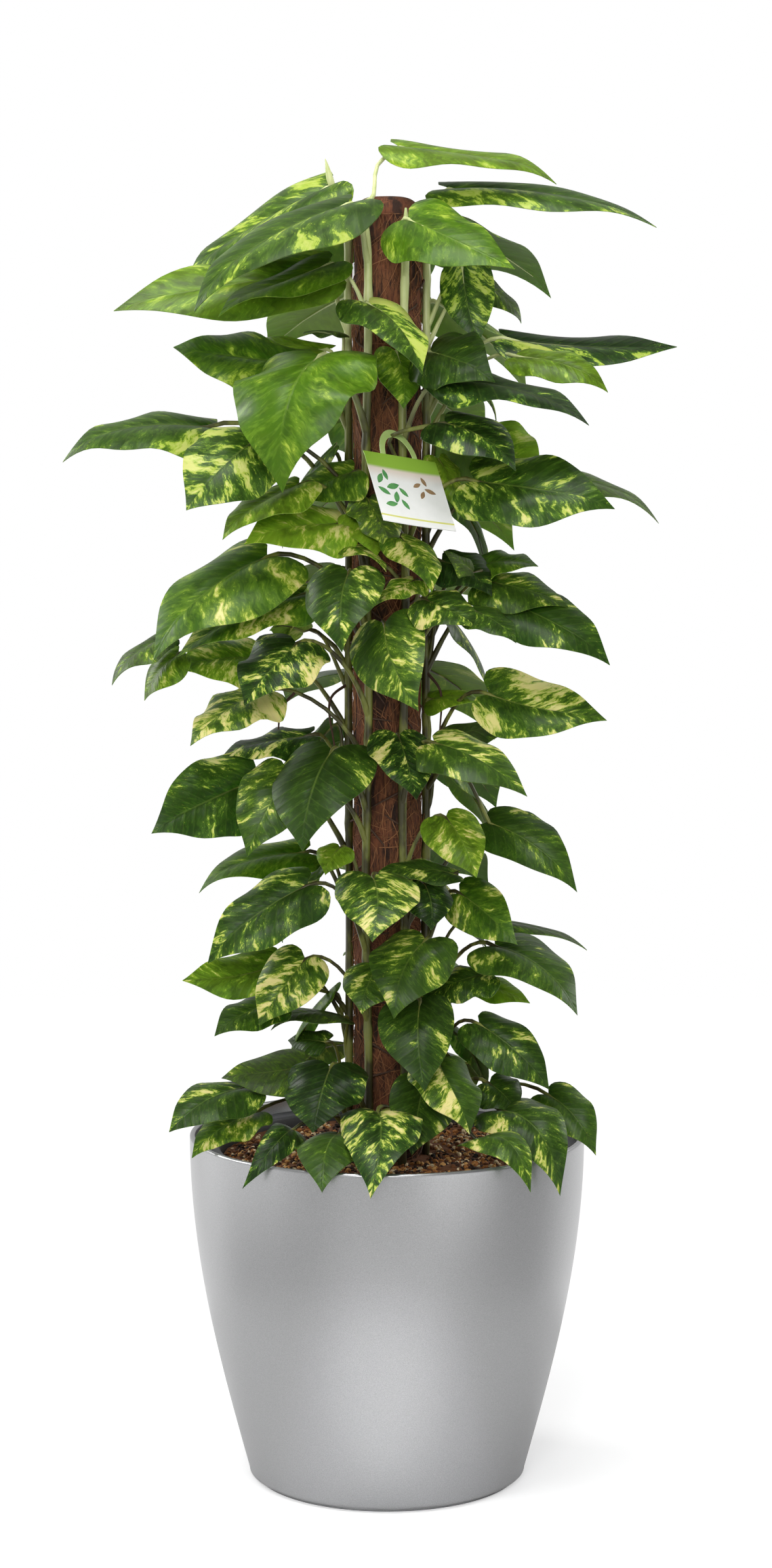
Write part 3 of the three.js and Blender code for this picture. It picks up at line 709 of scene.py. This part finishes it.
VINES["vine_front_left"] = Vine(-30, 1362, read_leaves("""
14 -14 1442, 176 -65 1412, 76 16 0.02, olive 0.14, 60, -14 -38 1390, -10 -20 1422
-42 -60 1378, -200 -150 1273, 116 14 0.07, leaf 0.27 0.2
-63 -40 1317, -175 -148 1272, 66 23 -0.03, bright 0.08
-70 -99 1219, -109 -186 1084, 146 0 0.21, bright 0.1
-140 -100 1130, -205 -155 1060, 100 35 0.1, dark 0.72
-92 -92 1086, -170 -145 1035, 80 10 0.06, olive 0.41
-50 -70 1045, -145 -130 1030, 85 35 0.06, lime 0.6
-35 -55 1100, -95 -70 1070, 75 30 0.06, mid 0.36
-40 -115 995, -50 -195 922, 82 0 0.08, dark 0.43
-32 -58 1050, -8 -88 1012, 55 0 0.06, lime 0.31
-127 -64 1010, -244 -141 913, 126 27 0.11, mid 0.39
-90 -55 970, -220 -125 910, 85 25 0.05, mid 0.6
-95 -95 920, -145 -150 860, 95 15 0.08, deep 0.58 0.4
-137 -68 867, -203 -126 819, 90 14 0.08, leaf 0.87
-58 -88 807, -91 -176 713, 107 4 0.09, dark 0.14 0.2
-105 -85 785, -145 -150 705, 80 20 0.06, leaf 0.46
-85 -105 665, -192 -133 593, 77 43 0.04, dark 0.39
-50 -60 700, -68 -80 676, 40 20 0.06, lime 0.33
-87 -80 583, -133 -112 517, 69 34 0.14, leaf 0.77
-12 -85 575, -28 -125 535, 65 0 0.06, leaf 0.47
-60 -85 468, -78 -150 410, 90 0 0.06, deep 0.2
-100 -112 405, -147 -183 357, 38 32 0.3, deep 0.3
-50 -130 405, -70 -228 365, 75 0 0.14, leaf 0.1
"""), [((-98, -71, 866), (-112, -78, 850), (-115, -78, 828))])
VINES["vine_right"] = Vine(100, 1385, read_leaves("""
71 -5 1398, 283 -63 1360, 89 20 0.05, leaf 0.4 -0.3
80 -15 1315, 95 -35 1235, 58 45 0.04, dark 0.52
102 16 1302, 149 24 1264, 46 37 0.02, grey 0.2
45 -60 1225, 105 -130 1195, 82 40 0.1, dark 0.14
134 -19 1239, 306 -46 1230, 85 22 -0.02, deep 0.38 -0.3
140 -51 1220, 232 -87 1189, 54 32 0.07, olive 0.2
145 -30 1095, 290 -70 1060, 65 25 0.06, grey 0.05
60 -16 1140, 130 -38 1095, 75 -50 0.04, grey 0.08
110 20 1135, 165 -5 1100, 80 50 0.05, lime 0.5
58 -45 1005, 112 -85 975, 66 30 0.06, deep 0.08
95 -30 1000, 160 -60 1000, 72 30 0.08, mid 0.2
92 -68 993, 60 -62 1017, 34 30 0.04, grey 0.1
105 -50 984, 190 -85 958, 75 35 0.06, leaf 0.3
120 -60 965, 230 -125 905, 84 32 0.08, dark 0.23
109 -60 864, 227 -104 840, 83 51 0.01, leaf 0.63
48 -5 855, 103 -14 853, 49 30 0.11, lime 0.14
66 4 812, 138 22 822, 60 20 0.06, grey 0.1
110 -46 725, 204 -101 666, 65 42 0.08, leaf 0.32, -30, 66 -20 790, 82 -42 780
140 0 720, 200 -30 670, 60 35 0.06, dark 0.1
78 -44 649, 138 -105 605, 61 54 0.07, mid 0.4
95 20 610, 220 10 585, 45 -5 0.05, grey 0.1
116 -45 592, 203 -122 536, 89 20 0.12, leaf 0.2
105 -40 560, 32 -74 535, 56 25 0.05, dark 0.56
95 0 545, 155 -20 525, 45 25 0.05, lime 0.06
99 -64 510, 173 -113 451, 65 30 0.07, dark 0.28
174 -53 431, 225 -110 384, 55 33 0.08, leaf 0.14
121 -86 421, 188 -151 352, 75 24 0.24, dark 0.39
95 -130 398, 150 -200 360, 50 5 0.28, leaf 0.31
110 -60 445, 140 -90 420, 55 30 0.06, dark 0.08
"""), [((42, 7, 885), (58, -8, 862), (57, -12, 820))])
VINES["vine_left"] = Vine(-105, 1380, read_leaves("""
-65 14 1402, -222 -24 1302, 108 20 0.04, leaf 0.6 -0.2
-74 -24 1310, -284 -91 1270, 97 40 0.02, olive 0.4
-95 -36 1214, -226 -45 1227, 111 30 0.02, mid 0.3
-70 25 1230, -160 45 1240, 75 18 0.05, lime 0.12
-52 -12 1245, -88 -40 1246, 42 5 0.05, dark 0.05
-191 -27 1147, -342 -67 1122, 105 25 0.09, leaf 0.46
-236 -64 924, -292 -84 878, 67 11 0.1, grey 0.22, 20
-222 -52 907, -260 -51 858, 55 40 0.08, olive 0.31, 20
-140 -9 900, -225 -49 892, 80 40 0.06, olive 0.6
-90 -30 930, -125 -50 935, 45 -30 0.1, olive 0.2
-85 -36 818, -182 -47 800, 82 20 0.02, deep 0.48 0.3
-144 -70 772, -243 -142 732, 93 55 -0.02, dark 0.27
-91 -2 688, -206 -28 660, 79 27 0.05, bright 0.14
-123 -33 568, -216 -79 559, 56 47 -0.04, olive 0.31
-120 -50 530, -185 -90 505, 60 20 0.06, leaf 0.2, 25
-48 -17 509, -126 -54 510, 40 10 0.09, grey 0.05
-94 -60 463, -177 -72 453, 65 38 0.02, grey 0.05
-153 -65 441, -231 -123 406, 72 13 0.1, dark 0.24 -0.5
-142 -64 414, -208 -116 380, 57 9 0.07, mid 0.52
-68 -22 483, -109 0 480, 40 31 0.07, dark 0.08
"""), [((-41, 11, 872), (-62, -8, 852), (-56, -16, 800)), ((-41, 11, 1370), (-58, 14, 1402), (-66, 12, 1432))])
print(sum(len(vine.leaves) for vine in VINES.values()), "leaves face the front and the sides")

# %% [markdown]
# Behind the pole the leaves follow a rule: tiers from the top down, leaves fanned round the back in each, and small
# seeded differences in place, length and droop. The draws repeat those of the frame in the same order.

# %% Leaves behind the pole
BACK_TIERS = ((1370, 3, 180), (1290, 3, 176), (1185, 3, 188), (1090, 3, 172), (990, 3, 180), (890, 3, 176),
              (790, 3, 176), (680, 3, 180), (570, 2, 172), (465, 3, 176))
BACK_TURN = 38
BACK_SHORT = 112
BACK_LONG = 175
DRAW_FACTOR = 16807
DRAW_PRIME = 2 ** 31 - 1


def seeded_draws(seed):
    state = seed

    def draw(low, high):
        nonlocal state
        state = (state * DRAW_FACTOR) % DRAW_PRIME
        return low + ((high - low) * state) / DRAW_PRIME

    return draw


def on_pole(azimuth, distance):
    """The place at this distance from the pole's axis. Azimuth 0 is in front, and 90 on the right."""
    angle = math.radians(azimuth)
    return distance * math.sin(angle), -distance * math.cos(angle)


def hanging_leaf(draw, look, start, length, droop, sway, turn, wide, arch, greens, yellows):
    """A leaf that hangs out from the pole. Start is its azimuth, its distance from the axis and its height."""
    azimuth, reach, height = start
    end = on_pole(azimuth + draw(-sway, sway), reach + length * math.cos(droop))
    face = draw(*turn)
    width = length * draw(*wide)
    return Leaf((*on_pole(azimuth, reach), height), (*end, height - length * math.sin(droop)), width, face, arch,
                look.choice(greens), look.choice(yellows), look.uniform(-0.4, 0.4))


def back_leaves():
    draw = seeded_draws(1832)
    look = random.Random(7)
    leaves = []
    for level, count, middle in BACK_TIERS:
        share = (level - 455) / 930
        for place in range(count):
            azimuth = middle + BACK_TURN * (place - (count - 1) / 2) + draw(-5, 5)
            reach = draw(62, 76) + 14 * share
            length = BACK_SHORT + (BACK_LONG - BACK_SHORT) * share + draw(-10, 10)
            droop = math.radians(draw(14, 32))
            start = (azimuth, reach, level + draw(-9, 9))
            greens = ("dark", "leaf", "mid") if share < 0.6 else ("mid", "bright", "leaf", "olive")
            yellows = (0.1, 0.2, 0.3, 0.45, 0.6) if share < 0.75 else (0.08, 0.15, 0.3, 0.5)
            leaves.append(hanging_leaf(draw, look, start, length, droop, 4, (-24, 10), (0.58, 0.66), 0.07,
                                       greens, yellows))
    return leaves


VINES["vine_back"] = Vine(180, 1380, back_leaves())
print(len(VINES["vine_back"].leaves), "leaves behind the pole")

# %% [markdown]
# Short leaves hang steeply at each side of the pole, close to the stem and one above the other, so that the pole is
# dressed from the side as well. They follow a rule too, with the same draws as the frame.

# %% Leaves at the sides of the pole
SIDE_STEP = 150
SIDE_TURN = 12


def add_side_leaves(name, azimuth, seed, count, top):
    draw = seeded_draws(seed)
    look = random.Random(seed)
    for place in range(count):
        height = top - SIDE_STEP * place + draw(-10, 10)
        turned = azimuth + (-SIDE_TURN if place % 2 == 0 else SIDE_TURN) + draw(-4, 4)
        reach = draw(60, 68)
        length = draw(96, 118)
        droop = math.radians(draw(54, 66))
        leaf = hanging_leaf(draw, look, (turned, reach, height), length, droop, 8, (-14, 14), (0.62, 0.72), 0.09,
                            ("dark", "leaf", "mid", "dark", "deep"), (0.2, 0.35, 0.5, 0.6))
        VINES[name].leaves.append(leaf)
    print(count, "leaves hang beside the pole on", name)


add_side_leaves("vine_right", 94, 186, 6, 1240)
add_side_leaves("vine_left", -94, 63, 5, 1130)

# %% [markdown]
# ## Growing a leaf
#
# blade_places moves the flat blade's vertices: along the midrib, across it and out of its upper face, with the bow,
# the drooping halves, the sunken midrib, waves, a twist and a bent drip tip. The petiole leaves the stem in a sheath,
# arches over and runs on under the blade as its midrib.

# %% Leaf by formula
BLADE_SKIN = 0.4
MOODS = {"wave": (0.03, 0.08), "beat": (1.0, 2.3), "phase": (0, 6.28), "twist": (-0.18, 0.18), "curl": (0, 0.3),
         "lopsided": (-0.08, 0.08), "sickle": (-0.06, 0.06), "swell": (0.02, 0.07)}


def blade_axes(leaf):
    ahead = Vector(leaf.tip) - Vector(leaf.notch)
    length = ahead.length
    ahead.normalize()
    upper = Vector((0, 0, 1)) - ahead * ahead.z
    upper.normalize()
    upper = Matrix.Rotation(math.radians(leaf.face) * (-1 if ahead.x < 0 else 1), 3, ahead) @ upper
    return np.array(ahead), np.array(upper.cross(ahead)), np.array(upper), length


def blade_lift(s, w, leaf, length, mood):
    """How far the blade's middle layer stands out of the straight line from notch to tip."""
    half, width = np.abs(w), leaf.width
    bow = leaf.arch * length * 4 * s * (1 - s)
    droop = -0.11 * width * w * w
    swell = mood["swell"] * width * np.sin(math.pi * np.clip(half, 0, 1)) * np.clip(1.1 - s, 0, 1)
    groove = -0.014 * width * np.exp(-(w / 0.07) ** 2) * (1 - s)
    beat = np.sin(2 * math.pi * mood["beat"] * s + np.where(w > 0, 0, 2) + mood["phase"])
    wave = mood["wave"] * width * w * w * beat
    twist = mood["twist"] * width * w * s
    curl = -mood["curl"] * length * np.clip(s - 0.7, 0, 1) ** 2 * 4
    return bow + droop + swell + groove + wave + twist + curl


def blade_bend(s, length, mood):
    """How far the midrib swings sideways out of that line."""
    return mood["sickle"] * length * (4 * s * (1 - s) - s)


def blade_places(flat, leaf, mood):
    ahead, across, upper, length = blade_axes(leaf)
    w, s = flat[:, 0], flat[:, 1]
    skin = np.where(flat[:, 2] > flat[:, 2].mean(), BLADE_SKIN, -BLADE_SKIN)
    lift = blade_lift(s, w, leaf, length, mood)
    sideways = w * leaf.width / 2 * (1 + mood["lopsided"] * np.sign(w)) + blade_bend(s, length, mood)
    return (np.array(leaf.notch) + np.outer(s * length, ahead) + np.outer(sideways, across)
            + np.outer(lift + skin, upper)), skin > 0


print("a leaf's mood is its", ", ".join(MOODS))

# %% Petiole by formula
STEM_RADIUS = 5
STEM_BOTTOM = 285
STEM_DISTANCE = POLE_RADIUS + 0.3 + STEM_RADIUS + 0.5
PETIOLE_RADII = (1.5, 1.35, 1.15, 1, 0.95, 0.92, 0.9, 0.95, 1.02, 0.9)
RIB_RADII = [1.3, 1.05, 0.85, 0.6, 0.3]
RIB_SHARES = np.array([0.06, 0.2, 0.4, 0.62, 0.85])


def stem_point(azimuth, height):
    sway = 2.5 * math.sin(height / 67 + azimuth)
    return np.array((*on_pole(azimuth + sway, STEM_DISTANCE + 0.4), height))


def petiole_path(leaf, azimuth, count):
    notch = np.array(leaf.notch)
    rise = 35 + 0.35 * math.hypot(*notch[:2]) if leaf.rise is None else leaf.rise
    node = stem_point(azimuth, max(notch[2] - rise, SOIL_TOP + 20))
    if leaf.route:
        return along([node, *leaf.route, notch], count)
    ahead = (np.array(leaf.tip) - notch) * (1, 1, 0)
    ahead /= np.linalg.norm(ahead)
    span = np.linalg.norm(notch - node)
    out = node * (1, 1, 0) / np.linalg.norm(node[:2])
    leave = node + out * 0.22 * span + (0, 0, 0.45 * span)
    arrive = notch - ahead * 0.28 * span + (0, 0, 0.1 * span)
    t = np.linspace(0, 1, count)[:, None]
    return (1 - t) ** 3 * node + 3 * (1 - t) ** 2 * t * leave + 3 * (1 - t) * t * t * arrive + t ** 3 * notch


def petiole_places(leaf, azimuth, mood):
    """The petiole, and the midrib that it becomes under the blade."""
    ahead, across, upper, length = blade_axes(leaf)
    notch = np.array(leaf.notch)
    free = petiole_path(leaf, azimuth, len(PETIOLE_RADII))
    free[-1] = notch - upper * 0.6
    lift = blade_lift(RIB_SHARES, np.zeros(len(RIB_SHARES)), leaf, length, mood) - 0.5
    bend = blade_bend(RIB_SHARES, length, mood)
    rib = notch + np.outer(RIB_SHARES * length, ahead) + np.outer(bend, across) + np.outer(lift, upper)
    thick = 1.5 + leaf.width / 100
    radii = [thick * share for share in PETIOLE_RADII] + RIB_RADII
    return bent(corners_of(STALK_TUBE), np.concatenate([free, rib]), radii)


print("the stems stand", round(STEM_DISTANCE, 1), "mm from the pole's axis")

# %% [markdown]
# ## Finish of the leaves
#
# The yellow of a golden pothos follows the side veins: streaks and blotches run from the midrib forwards to the edge,
# crisp on one side and breaking into specks on the other. The blade's own map gives the place along and across, and
# from those comes the place where each side vein starts. Noise stretched along the veins makes the streaks. The
# numbers kept on every leaf say how much yellow it has, on which half, and how dark its green is. The underside is
# paler and matt.

# %% Blade finish
# The sage tone among these greens is partly the leaf's own dull green and partly painted sheen: a pale wash that
# stands for light mirrored on glossy leaves.
GREENS = {
    "deep": (0, (0.009, 0.023, 0.003)),
    "dark": (0.14, (0.021, 0.048, 0.005)),
    "leaf": (0.28, (0.031, 0.069, 0.007)),
    "grey": (0.42, (0.055, 0.08, 0.025)),
    "mid": (0.55, (0.04, 0.097, 0.006)),
    "bright": (0.7, (0.056, 0.13, 0.004)),
    "olive": (0.84, (0.092, 0.155, 0.009)),
    "lime": (1, (0.155, 0.26, 0.014)),
}


def blade_finish():
    finish, tree, shader = new_finish("variegated_blade", 0.34)
    u, v, _ = split(make(tree, "UVMap", {}, uv_map="Blade"))
    across = u * 2 - 1
    place = v * 1.1 - 0.1
    half = across.math("ABSOLUTE")
    side = across.math("SIGN")
    vein = place - half.math("POWER", 0.8) * 0.26
    layer = side * 3.7 + stored(tree, "seed")
    bent_vein = (cloud(joined(vein * 6, half * 4, layer), 1, 1) - 0.5) * 0.11 + vein

    def streaks(often, reach, detail, rough):
        return cloud(joined(bent_vein * often, half * reach, layer), 1, detail, rough)

    fine = streaks(36, 7, 3, 0.7)
    ragged = streaks(11, 2.1, 2, 0.6) * 0.4 + streaks(3.4, 1.3, 1, 0.5) * 0.34 + fine * 0.26
    marked = ragged + side * stored(tree, "side") * 0.09 + (half * 0.05 - 0.025)
    limit = stored(tree, "yellow") * -0.175 + 0.633
    cream = ease(marked, limit, limit + 0.012)
    specks = ease(streaks(90, 20, 1, 0.5), 0.68, 0.72) * ease(marked, limit - 0.12, limit)

    tone = stored(tree, "tone")
    green = ramp((cloud(where(tree), 34, 3) - 0.5) * 0.2 + tone, GREENS.values())
    mid_green = blend(tone, (0.03, 0.075, 0.009), (0.19, 0.34, 0.02))
    pale_green = blend(tone, (0.085, 0.17, 0.018), (0.28, 0.4, 0.03))
    gold = blend(ease(marked, limit, limit + 0.08), (0.36, 0.44, 0.05), (0.74, 0.67, 0.27))
    high_up = ease(split(where(tree))[2], 0.98, 1.2)
    gold = blend(high_up * 0.7, gold, (0.3, 0.42, 0.04))
    flecks = ease(streaks(30, 6, 2, 0.6), 0.5, 0.64)
    # Dark cloudy streaks deepen the green here: they are painted shade within the blade.
    painted_shade = ease(streaks(6, 2.6, 2, 0.5), 0.54, 0.36)
    marbled = ease(marked, limit - 0.13, limit - 0.02)
    lime = ease(marked, limit - 0.045, limit)
    rib = 1 - ease(half, 0.008, 0.03)
    ridge = (vein * 9).math("PINGPONG", 0.5)
    colour = painted(green, (flecks * 0.4, mid_green), (painted_shade * 0.4, (0.01, 0.025, 0.003)),
                     (marbled * 0.6, mid_green), (lime * 0.85, pale_green), (cream.math("MAXIMUM", specks), gold),
                     (rib * (ease(place, 0.95, 0.25) * 0.3), (0.2, 0.3, 0.05)),
                     ((1 - ease(ridge, 0, 0.09)) * 0.08, (0.22, 0.34, 0.06)))

    under = 1 - stored(tree, "skin")
    pale = blend(0.55, colour, blend(tone, (0.11, 0.17, 0.06), (0.3, 0.42, 0.07)))
    height = rib * -0.6 + (ease(ridge, 0, 0.3) * 0.7 + fine * 0.25)
    feed(shader, {"Base Color": blend(under, colour, pale), "Roughness": under * 0.22 + (fine * 0.12 + 0.3),
                  "Specular IOR Level": 0.17, "Normal": relief(height, 0.25, 0.0009), "Subsurface Weight": 0.3,
                  "Subsurface Radius": (0.5, 1.0, 0.2), "Subsurface Scale": 0.003})
    return finish


# %% Stalk finish
def stalk_finish():
    finish, tree, shader = new_finish("green_stalk", 0.42)
    age = ease(split(where(tree))[2], 1.27, 1.12)
    mottle = cloud(where(tree, (1, 1, 0.3)), 160, 3)
    patches = ease(cloud(where(tree, (1, 1, 0.4)), 55, 3), 0.42, 0.6)
    young = blend(mottle, (0.36, 0.44, 0.13), (0.75, 0.78, 0.4))
    old = blend(patches, (0.05, 0.045, 0.012), blend(mottle, (0.1, 0.12, 0.02), (0.27, 0.28, 0.06)))
    feed(shader, {"Base Color": blend(age, young, old), "Normal": relief(mottle, 0.2, 0.0006)})
    return finish


LEAF_FINISHES = [blade_finish(), stalk_finish(),
                 mottled_finish("brown_aerial_root", 0.8, (0.03, 0.014, 0.009), (0.11, 0.055, 0.03), 300,
                                bump=(0.4, 0.0008))]
BLADE, STALK, ROOT = range(3)
print("finishes:", ", ".join(finish.name for finish in LEAF_FINISHES))

# %% [markdown]
# ## The vines
#
# Each vine is grown in three bands, low, middle and top, so that no piece gets too heavy. A stem has a swollen ring
# wherever a leaf leaves it, and short brown roots that cling to the coir.

# %% Grow
LEAF_VALUES = ["seed", "yellow", "side", "tone", "skin"]
BANDS = (("low", 0, 700), ("middle", 700, 1080), ("top", 1080, 2000))
LARGE_LEAF = 105
RING_STEP = 39
ROLLED_RADII = (2.4, 2, 1.8, 1.8, 1.9, 2.2, 2.8, 3.4, 3.8, 3.9, 3.6, 3, 2.2, 1.3, 0.4)


class Green(Growth):
    """The growth of one vine, which also notes the finish of each part's faces."""

    def __init__(self):
        super().__init__(LEAF_VALUES)
        self.finishes = []

    def part(self, mesh, places, finish, **values):
        self.add(mesh, places, **values)
        self.finishes.append(np.full(len(mesh.polygons), finish))

    def tube(self, mesh, path, radii, finish):
        self.part(mesh, bent(corners_of(mesh), path, radii), finish)

    def leaf(self, leaf, azimuth, draw):
        length = (Vector(leaf.tip) - Vector(leaf.notch)).length
        blade = LARGE_BLADE if length > LARGE_LEAF else SMALL_BLADE
        mood = {name: draw.uniform(*span) for name, span in MOODS.items()}
        places, upper = blade_places(corners_of(blade), leaf, mood)
        values = {"seed": draw.uniform(0, 90), "yellow": leaf.yellow, "side": leaf.side,
                  "tone": GREENS[leaf.green][0]}
        self.part(blade, places, BLADE, skin=upper.astype(float), **values)
        self.part(STALK_TUBE, petiole_places(leaf, azimuth, mood), STALK, **values)

    def stem(self, vine):
        heights = np.linspace(STEM_BOTTOM, vine.top, STEM_POINTS)
        rings = 1 + 0.22 * np.exp(-((heights + 31 * vine.azimuth) % (2 * RING_STEP) - RING_STEP) ** 2 / 30)
        radii = (STEM_RADIUS - 0.6) * rings
        radii[-3:] *= (0.85, 0.6, 0.25)
        self.tube(STEM_TUBE, [stem_point(vine.azimuth, height) for height in heights], radii, STALK)

    def root(self, points, thick):
        self.tube(STALK_TUBE, along(points, STALK_POINTS), np.linspace(thick, thick / 2, STALK_POINTS), ROOT)


def clinging_roots(vine, draw):
    """Short roots that leave the stem's rings sideways and lie on the coir."""
    rings = [height for height in range(330, vine.top - 60, RING_STEP) if draw.random() < 0.7]
    for height in rings:
        way = draw.choice((-1, 1))
        steps = np.linspace(0, 1, 4)
        angles = vine.azimuth + way * draw.uniform(25, 55) * steps
        heights = height + draw.uniform(-26, 18) * steps
        out = [STEM_DISTANCE - 2, POLE_RADIUS + 2, POLE_RADIUS + 1.2, POLE_RADIUS - 1]
        yield [(*on_pole(angle, reach), z) for angle, reach, z in zip(angles, out, heights)]


def grow(name, draw):
    vine = VINES[name]
    leaves = sorted(vine.leaves, key=lambda leaf: leaf.notch[2])
    for band, low, high in BANDS:
        green = Green()
        for leaf in leaves:
            if low <= leaf.notch[2] < high:
                green.leaf(leaf, vine.azimuth, draw)
        if band == "middle":
            green.stem(vine)
            for points in vine.threads:
                if points[-1][2] > points[0][2]:
                    green.tube(STALK_TUBE, along(points, STALK_POINTS), ROLLED_RADII, STALK)
                else:
                    green.root(points, 1.8)
            for points in clinging_roots(vine, draw):
                green.root(points, 1.4)
        mesh = green.mesh(name + "_" + band)
        mesh.polygons.foreach_set("material_index", np.concatenate(green.finishes))
        add_piece(mesh, name, LEAF_FINISHES, 50)


for place, name in enumerate(VINES):
    grow(name, random.Random(20 + place))

# %% [markdown]
# ## Tag
#
# A thin printed card hangs on a petiole by a loop that is cut with it. The card is a grid with a slight curl, and the
# loop is a short edge spun through half a turn. The print is a plain pattern of this lesson's own: a lime band that
# fades out, small leaf marks in green and brown, and a thin yellow line.

# %% Tag shape
CARD_WIDTH = 91
CARD_HEIGHT = 90
LOOP_WIDTH = 46
LOOP_HEIGHT = 36
LOOP_BAND = 6
LOOP_LEVEL = 0.15
CARD_CURL = 0.0006
TAG_PLACE = Vector((12.5, -80, 1114.6))


def tag_frame():
    across = Vector((75, 49, -12)).normalized()
    up = -Vector((22, -49, -72))
    up = (up - across * up.dot(across)).normalized()
    turn = Matrix((across, up, across.cross(up))).transposed().to_4x4()
    return Matrix.Scale(MM, 4) @ Matrix.Translation(TAG_PLACE) @ turn


def raised(bm, faces, height):
    for part in bmesh.ops.extrude_face_region(bm, geom=faces)["geom"]:
        if isinstance(part, bmesh.types.BMVert):
            part.co.z += height


def tag_card():
    bm = bmesh.new()
    bmesh.ops.create_grid(bm, x_segments=14, y_segments=14, size=0.5)
    lay_map(bm, "Card", lambda x, y: (x + 0.5, y + 0.5))
    for corner in bm.verts:
        corner.co = (corner.co.x * CARD_WIDTH, (corner.co.y - 0.5) * CARD_HEIGHT, 1)
    bmesh.ops.solidify(bm, geom=bm.faces[:], thickness=0.9)
    bmesh.ops.recalc_face_normals(bm, faces=bm.faces)
    return bm


def tag_loop(bm):
    outer = [bm.verts.new((LOOP_WIDTH / 2 - inset, -1, LOOP_LEVEL)) for inset in (0, LOOP_BAND)]
    edge = bm.edges.new(outer)
    bmesh.ops.spin(bm, geom=outer + [edge], cent=(0, -1, 0), axis=(0, 0, 1), angle=math.pi, steps=28)
    faces = [face for face in bm.faces if all(abs(corner.co.z - LOOP_LEVEL) < 1e-4 for corner in face.verts)]
    for corner in {corner for face in faces for corner in face.verts}:
        corner.co.y = -1 + (corner.co.y + 1) * LOOP_HEIGHT / (LOOP_WIDTH / 2)
    raised(bm, faces, 0.7)


print("the card measures", CARD_WIDTH, "by", CARD_HEIGHT, "mm")


# %% Tag print and tag
def tag_finish():
    finish, tree, shader = new_finish("printed_card", 0.42)
    card_map = make(tree, "UVMap", {}, uv_map="Card")
    up = split(card_map)[1]
    card = blend(cloud(card_map, 9, 3), (0.84, 0.85, 0.82), (0.92, 0.92, 0.9))
    card = painted(card, (ease(up, 0.6, 0.8) * 0.7, (0.78, 0.62, 0.5)), (ease(up, 0.76, 0.82), (0.3, 0.52, 0.05)),
                   (up.math("COMPARE", 0.09, 0.012), (0.72, 0.72, 0.2)))
    feed(shader, {"Base Color": card, "Normal": relief(cloud(where(tree), 900), 0.08, 0.0002)})
    return finish


TAG_FINISHES = [tag_finish(), mottled_finish("lime_loop", 0.4, (0.42, 0.6, 0.16), (0.55, 0.7, 0.28), 160),
                mottled_finish("print_green", 0.45, (0.03, 0.2, 0.06), (0.16, 0.42, 0.12), 160),
                mottled_finish("print_brown", 0.45, (0.2, 0.11, 0.05), (0.42, 0.28, 0.14), 160)]
GREEN_MARKS = ((-34, -34, 8, 60), (-26, -28, 7, 100), (-20, -42, 9, 20), (-33, -50, 8, -30),
               (-19, -56, 8, 75), (-8, -48, 7, 130), (-28, -66, 8, 10), (-10, -64, 7, -60))
BROWN_MARKS = ((12, -36, 6, 30), (22, -30, 6, 110), (27, -42, 7, -20), (16, -48, 6, 60))


def leaf_mark(bm, x, y, size, turn):
    """A flat leaf of print: a circle drawn out to a point at both ends."""
    place = Matrix.Translation((x, y, 1.0)) @ Matrix.Rotation(math.radians(turn), 4, "Z")
    made = bmesh.ops.create_circle(bm, cap_ends=True, segments=16, radius=1)
    for corner in made["verts"]:
        point = corner.co.x
        corner.co = place @ Vector((size * point, 0.42 * size * corner.co.y * (1 - point ** 2) ** 0.5, 0))
    raised(bm, [made["verts"][0].link_faces[0]], 0.12)


def add_tag():
    bm = tag_card()
    done = set(bm.faces)
    tag_loop(bm)
    bmesh.ops.recalc_face_normals(bm, faces=bm.faces)
    for finish, marks in ((1, ()), (2, GREEN_MARKS), (3, BROWN_MARKS)):
        for mark in marks:
            leaf_mark(bm, *mark)
        for face in set(bm.faces) - done:
            face.material_index = finish
        done = set(bm.faces)
    bmesh.ops.recalc_face_normals(bm, faces=bm.faces)
    for corner in bm.verts:
        if corner.co.y < 0:
            corner.co.z += CARD_CURL * (corner.co.x ** 2 - 900)
    bmesh.ops.transform(bm, matrix=tag_frame(), verts=bm.verts)
    add_piece(keep_mesh(bm, "plant_tag"), "tag", TAG_FINISHES, 30)


add_tag()
